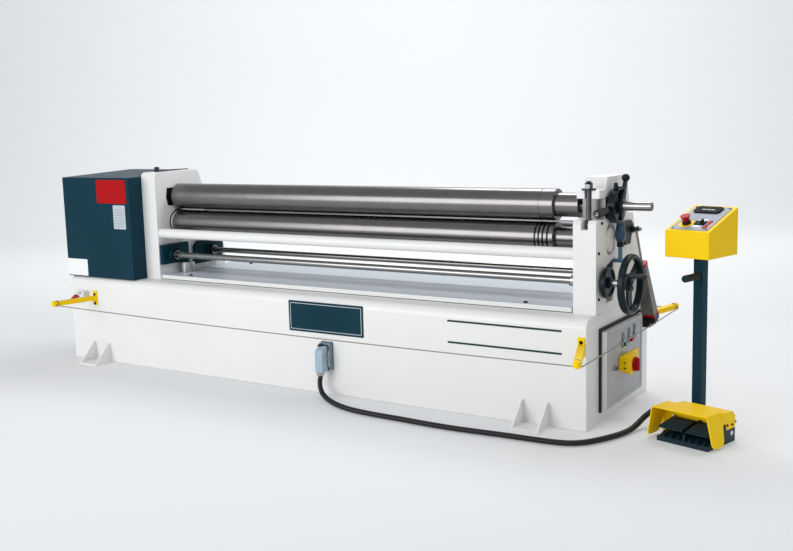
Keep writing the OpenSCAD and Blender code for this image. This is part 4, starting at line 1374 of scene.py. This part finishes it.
@dataclass
class DropEndFittings:
    """Drop end: bright bolt head, the pins' screws and rings of its linkage."""

    bolt: tuple[float, float] = (1410.5, -204)
    bolt_pin_z: float = 788.0
    handle: tuple[float, float] = (1484, -55)
    roll_y: float = -95.0
    roll_z: float = 857.0
    hub_face: float = 1510.0
    hub_screw_reach: tuple[float, float] = (-25, 21)

    def build(self) -> None:
        """Fit the bolt head, screws and rings."""
        at = Matrix.Translation((*self.bolt, 0))
        rod = Matrix.Translation((*self.handle, 0))
        shaft = Form().lathe([(779, 4), (779, 10.5), (797, 10.5), (797, 10), (853, 10),
                              (853, 11.6), (859, 11.6), (859, 10), (928, 10)], at, 32)
        shaft.lathe([(-33, 5), (-11, 5), (-11, 11), (11, 11), (11, 5), (33, 5)],
                    along((*self.bolt, self.bolt_pin_z), (1, 0, 0)), 32)
        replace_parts(shaft.piece("swing_bolt_shaft", BOLT_POLISH, Body.SWING_BOLT, 0.4),
                    "swing_bolt")
        Form().lathe([(927, 29), (931, 29), (932, 27.5)], at).piece(
            "swing_bolt_washer", BLACKENED, Body.SWING_BOLT, 0.4)
        Form().loft([(hexagon(16.5), 931.5), (hexagon(16.5), 947.0),
                     (ring_outline(14.6, 24), 949.5), (ring_outline(14.6, 24), 950.0)],
                    at).piece("swing_bolt_head", CHROME_DARK, Body.SWING_BOLT)
        Form().lathe([(949, 15.6), (953, 15.6), (954.5, 14), (954.5, 9.5), (960, 9.5),
                      (961, 8)], at, 32).piece("swing_bolt_lock", BLACKENED, Body.SWING_BOLT)
        roll_axis = along((0, self.roll_y, self.roll_z), (1, 0, 0))
        Form().lathe([(1512.5, 17.9), (1625, 17.9), (1627, 15.5)], roll_axis, 64).piece(
            "roll_stub_polish", SHAFT_STEEL, Body.TOP_ROLL)
        release = Form().lathe([(641, 8.7), (691, 8.7)], rod, 32)
        release.block((1458.5, -67.6, 627.4), (1496.6, -42.4, 641.6))
        release.piece("release_rod", LEVER_BLUE, bevel=0.6)
        Form().lathe([(690, 8.6), (690, 13.8), (711, 13.8), (713, 12)], rod, 32).piece(
            "release_collar", BLACKENED, bevel=0.4)
        Screws("link_screw", Head.SOCKET, 9.5, [(1437, -186, 832)], (0, -1, 0),
               CHROME_DARK).build()
        Screws("pin_screw", Head.HEX, 7.0, [(1505, 113, 744)], (1, 0, 0), ZINC).build()
        Screws("lever_screws", Head.SOCKET, 6.0,
               [(self.hub_face, self.roll_y, self.roll_z + z) for z in self.hub_screw_reach],
               (1, 0, 0), ZINC).build()


@dataclass
class CabinetFittings:
    """Electrical cabinet: lens, key lock, legend lines and the switch box's screws."""

    face: float = 1488.0
    buttons: tuple[tuple[float, float], ...] = ((-31, 290), (40, 296), (105, 301))
    lock: tuple[float, float] = (-127, 209)
    knob: tuple[float, float] = (-22, 208)

    def build(self) -> None:
        """Fit the small parts of the door."""
        door = facing_x(self.face)
        lens = door @ Matrix.Translation((*self.buttons[-1], 0))
        Form().lathe([(6.0, 10.6), (14.0, 10.6), (17.5, 8.5), (18.6, 4.0)], lens, 32).piece(
            "signal_lens", CLEAR_LENS)
        lock = door @ Matrix.Translation((*self.lock, 0))
        Form().lathe([(-0.5, 14.0), (2.5, 14.0), (3.5, 12.5)], lock, 32).piece(
            "key_lock_body", ZINC)
        Form().lathe([(11.0, 8.2), (12.8, 8.2), (13.4, 7.4)], lock, 24).piece(
            "key_lock_cap", BLACK_ABS_AND_SHADE)
        lines, plates = Form(), Form()
        for y, z in self.buttons:
            plates.prism(rounded((y - 13, z + 17), (y + 13, z + 46), 2), 2.0, 3.5, door)
            for row in range(4):
                low = z + 20 + 6.5 * row
                lines.block((y - 10, low, 3.2), (y + 10, low + 3, 3.9), door)
        plates.piece("legend_plates", WINDOW_GREY, bevel=0.3)
        lines.piece("legend_lines", SIGN_DARK)
        # painted highlight: a whiter strip on the door's lit front edge
        Form().block((1467, -215.2, 58), (1489.5, -213.6, 371)).piece(
            "door_front_edge", WHITE_SIGN_AND_HIGHLIGHT, bevel=0.6)
        cover = Form().loft([(rounded((-80, 188), (26, 244), 10), 2.0),
                             (rounded((-82, 176), (28, 250), 16), 34.0),
                             (rounded((-78, 172), (24, 252), 22), 46.0)], door)
        cover.prism(rounded((-76, 180), (150, 238), 8), -0.5, 3.0, door)
        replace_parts(cover.piece("main_switch_cover", YELLOW, bevel=1.2), "main_switch_box")
        knob = door @ Matrix.Translation((*self.knob, 0))
        grip = Form().lathe([(47, 29), (52, 30), (54, 28)], knob, 48)
        grip.loft([(rounded((-10, -28), (10, 28), 9.9, 8), 53),
                   (rounded((-9, -27), (9, 27), 8.9, 8), 64),
                   (rounded((-7, -24), (7, 24), 6.9, 8), 68)], knob)
        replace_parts(grip.piece("main_switch_grip", RED_PLASTIC, Body.MAIN_SWITCH, 0.6),
                    "main_switch_knob")
        Screws("switch_box_screws", Head.DOME, 4.0, [(1515, -81.5, 200), (1515, -81.5, 222)],
               (0, -1, 0), BOLT_BLACK).build()
        bezels = Form()
        for at in self.buttons:
            bezels.band(ring_outline(16.5, 48, at), ring_outline(11.8, 48, at), -0.5, 8.6, door)
        bezels.piece("button_bezels", ZINC, bevel=1.6)


@dataclass
class ConsoleFittings:
    """Console: display, stop button's ring and collar, rocker frame, arrows and screws."""

    half_width: float = 79.0
    low: float = 11.0
    high: float = 209.0
    screw_inset: float = 8.0
    stop: tuple[float, float] = (-30, 54)
    grip_height: float = 590.0

    def build(self) -> None:
        """Fit the panel's parts and the column's grip."""
        plate = Form().prism(rounded((-self.half_width, self.low), (self.half_width, self.high), 5),
                             -0.5, 3.0, ON_PANEL)
        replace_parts(plate.piece("panel_plate", PANEL_GREY, bevel=0.6), "console_panel")
        cut = [(-61, 158), (-51, 149), (42, 149), (52, 158), (52, 191), (42, 201), (-51, 201),
               (-61, 191)]
        Form().prism(cut, 2, 9, ON_PANEL).piece("display_bezel", BLACK_FILM_AND_SHADE, bevel=1.2)
        marks = Form()
        for i in range(7):
            low = -28 + 8 * i
            marks.prism(rounded((low, 168), (low + 4, 175), 1.0, 3), 8.8, 9.3, ON_PANEL)
        marks.piece("display_marks", WHITE_SIGN_AND_HIGHLIGHT)
        Form().band(ring_outline(31, 64, (-32, 56)), ring_outline(15, 64, self.stop), 2.5, 4.2,
                    ON_PANEL).piece("stop_backing", YELLOW, bevel=0.4)
        collar = ON_PANEL @ Matrix.Translation((*self.stop, 0))
        Form().band(ring_outline(17.0, 48), ring_outline(12.2, 48), 4.0, 18.4, collar).piece(
            "stop_collar", BLACK_ABS_AND_SHADE, bevel=0.8)
        Form().prism(rounded((0, 32), (40, 98), 4), 2.5, 4.6, ON_PANEL).piece(
            "rocker_frame", CLEAR_LENS, bevel=0.8)
        Form().prism(rounded((0, 48), (44, 80), 3), 4.0, 7.4, ON_PANEL).piece(
            "rocker_middle", BLACK_FILM_AND_SHADE, bevel=0.6)
        arrows = Form()
        for turn, v in ((1, 74), (-1, 38)):
            arrow = [(50, -16 * turn), (64, -16 * turn), (64, 4 * turn), (70, 4 * turn),
                     (57, 20 * turn), (44, 4 * turn), (50, 4 * turn)]
            points = [(u, v + w) for u, w in arrow]
            arrows.prism(points if turn > 0 else points[::-1], 2.6, 3.6, ON_PANEL)
        arrows.piece("panel_arrows", SIGN_RED)
        facing = tuple(ON_PANEL.to_3x3() @ Vector((0, 0, 1)))
        across = self.half_width - self.screw_inset
        rows = (self.low + self.screw_inset, self.high - self.screw_inset)
        Screws("panel_screws", Head.DOME, 4.0,
               on(ON_PANEL, [(u, v, 3) for v in rows for u in (-across, across)]),
               facing, BOLT_BLACK).build()
        grip = AT_CONSOLE @ along((0, -18, self.grip_height), (0, -1, 0))
        profile = [(0, 13.6), (4, 15.0)]
        for i in range(8):
            start = 12 + 10 * i
            profile += [(start, 14.0), (start + 1.5, 13.0), (start + 3, 13.0), (start + 4.5, 14.0)]
        profile += [(94, 14.0), (97, 12.5), (97, 8.0), (94, 7.5)]
        Form().lathe(profile, grip, 32).piece("column_grip", RUBBER)


@dataclass
class FootSwitchFittings:
    """Foot switch: pedal ridges, the hood's back wall, floor humps, side screws and a blank round
    plate.
    """

    def build(self) -> None:
        """Fit the ridges, the wall, the humps, the screws and the plate."""
        rise = 14 / 110
        for body, lo, hi in ((Body.PEDAL_LEFT, 10, 96), (Body.PEDAL_RIGHT, 122, 200)):
            ridges = Form()
            for row in range(6):
                v = 18 + 14 * row
                z = 57.6 + rise * (v - 8)
                ridges.sweep([(lo, v, z - 2.0), (lo + 3, v, z), (hi - 3, v, z), (hi, v, z - 2.0)],
                             3.0, AT_PEDALS, 12)
            ridges.piece(f"{body.value}_ridges", PEDAL_BLACK, body)
        wall = [(-43, 10), (3, 10), (3, 76), (12, 76), (12, 121), (-27, 121), (-43, 100)]
        Form().prism(wall, 0, 2.5, AT_PEDALS @ facing_front(101)).prism(
            rounded((-2, 30), (10, 90), 1), 0, 2.5, AT_PEDALS @ facing_front(124)).piece(
            "hood_back_wall", YELLOW, bevel=0.5)
        humps = Form()
        for lo, hi in ((10, 98), (120, 204)):
            for i in range(3):
                u = lo + (hi - lo) * (i + 0.5) / 3
                humps.sweep([(u, 5, 14), (u, 9, 20), (u, 22, 25), (u, 44, 27.5), (u, 100, 28)],
                            4.5, AT_PEDALS, 12)
        humps.piece("floor_humps", PEDAL_BLACK)
        side = tuple(AT_PEDALS.to_3x3() @ Vector((1, 0, 0)))
        Screws("foot_switch_screws", Head.SOCKET, 4.5,
               on(AT_PEDALS, [(213, 133, 70), (213, 168, 66)]), side, BOLT_BLACK).build()
        Form().prism(ring_outline(9, 32, (166, 34)), -0.4, 1.2,
                     AT_PEDALS @ facing_x(213)).piece("round_plate", CLEAR_LENS, bevel=0.3)


@dataclass
class ConnectorFittings:
    """Plug and socket on the base: latch, screws and cable gland."""

    def build(self) -> None:
        """Fit the latch, the screws and the gland."""
        Form().prism(rounded((197.5, 116.5), (260.5, 242.5), 4), 0, 3,
                     facing_front(-350)).piece("housing_gasket", RUBBER, bevel=0.5)
        Form().prism(rounded((204.5, 114.5), (252.5, 232.5), 6), 0, 3.5,
                     facing_front(-373.5)).piece("hood_gasket", RUBBER, bevel=0.5)
        Form().block((207, -394, 226), (223, -377, 236)).piece(
            "hood_catch", BLACK_ABS_AND_SHADE, bevel=1.5)
        strap = Form().prism(rounded((252.5, 132), (258, 214), 2.5), 0, 5, facing_front(-374))
        strap.sweep([(255, -380, 205), (255, -384, 170), (255, -380, 138)], 2.6)
        strap.piece("latch_strap", ZINC, bevel=0.6)
        latch = Form()
        arm = [(-362, 226), (-372, 226), (-376, 205), (-404, 182), (-400, 174), (-372, 190),
               (-362, 200)]
        for x in (205.0, 249.2):
            latch.prism(arm, 0, 2.6, facing_x(x))
        latch.sweep([(205, -402, 178), (252, -402, 178)], 3.0)
        latch.piece("connector_latch", ZINC, bevel=0.5)
        Screws("connector_screws", Head.DOME, 3.4,
               [(204.2, -374, 127), (254.5, -374, 127), (204.2, -374, 233), (254.5, -374, 233)],
               (0, -1, 0), ZINC).build()
        gland = along((224, -401, 0), (0, 0, 1))
        Form().loft([(ring_outline(14.6, 24), 97.0), (ring_outline(16.0, 24), 99.0),
                     (hexagon(19.0), 100.0), (hexagon(19.0), 109.0),
                     (ring_outline(17.0, 24), 110.5), (ring_outline(17.0, 24), 114.0)],
                    gland).piece("connector_gland", ZINC)


def main() -> None:
    """Build the scene piece by piece and log what it builds."""
    logging.basicConfig(level=logging.INFO, format="%(message)s")
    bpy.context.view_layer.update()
    Studio().build()
    cable = SupplyCable().build()
    LOG.info("supply cable: %d faces", len(cable.data.polygons))
    Skins().build()
    for group in (BaseBox(), GuardFittings(), FrameFittings(), DropEndFittings(),
                  CabinetFittings(), ConsoleFittings(), FootSwitchFittings(),
                  ConnectorFittings()):
        group.build()
        LOG.info("%s built", type(group).__name__)


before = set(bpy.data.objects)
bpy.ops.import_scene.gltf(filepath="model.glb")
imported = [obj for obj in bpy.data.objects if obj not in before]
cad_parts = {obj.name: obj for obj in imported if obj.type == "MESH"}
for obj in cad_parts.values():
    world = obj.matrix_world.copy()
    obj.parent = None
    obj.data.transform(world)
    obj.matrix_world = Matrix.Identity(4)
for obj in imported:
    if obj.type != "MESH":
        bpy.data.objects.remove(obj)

if __name__ == "__main__":
    main()
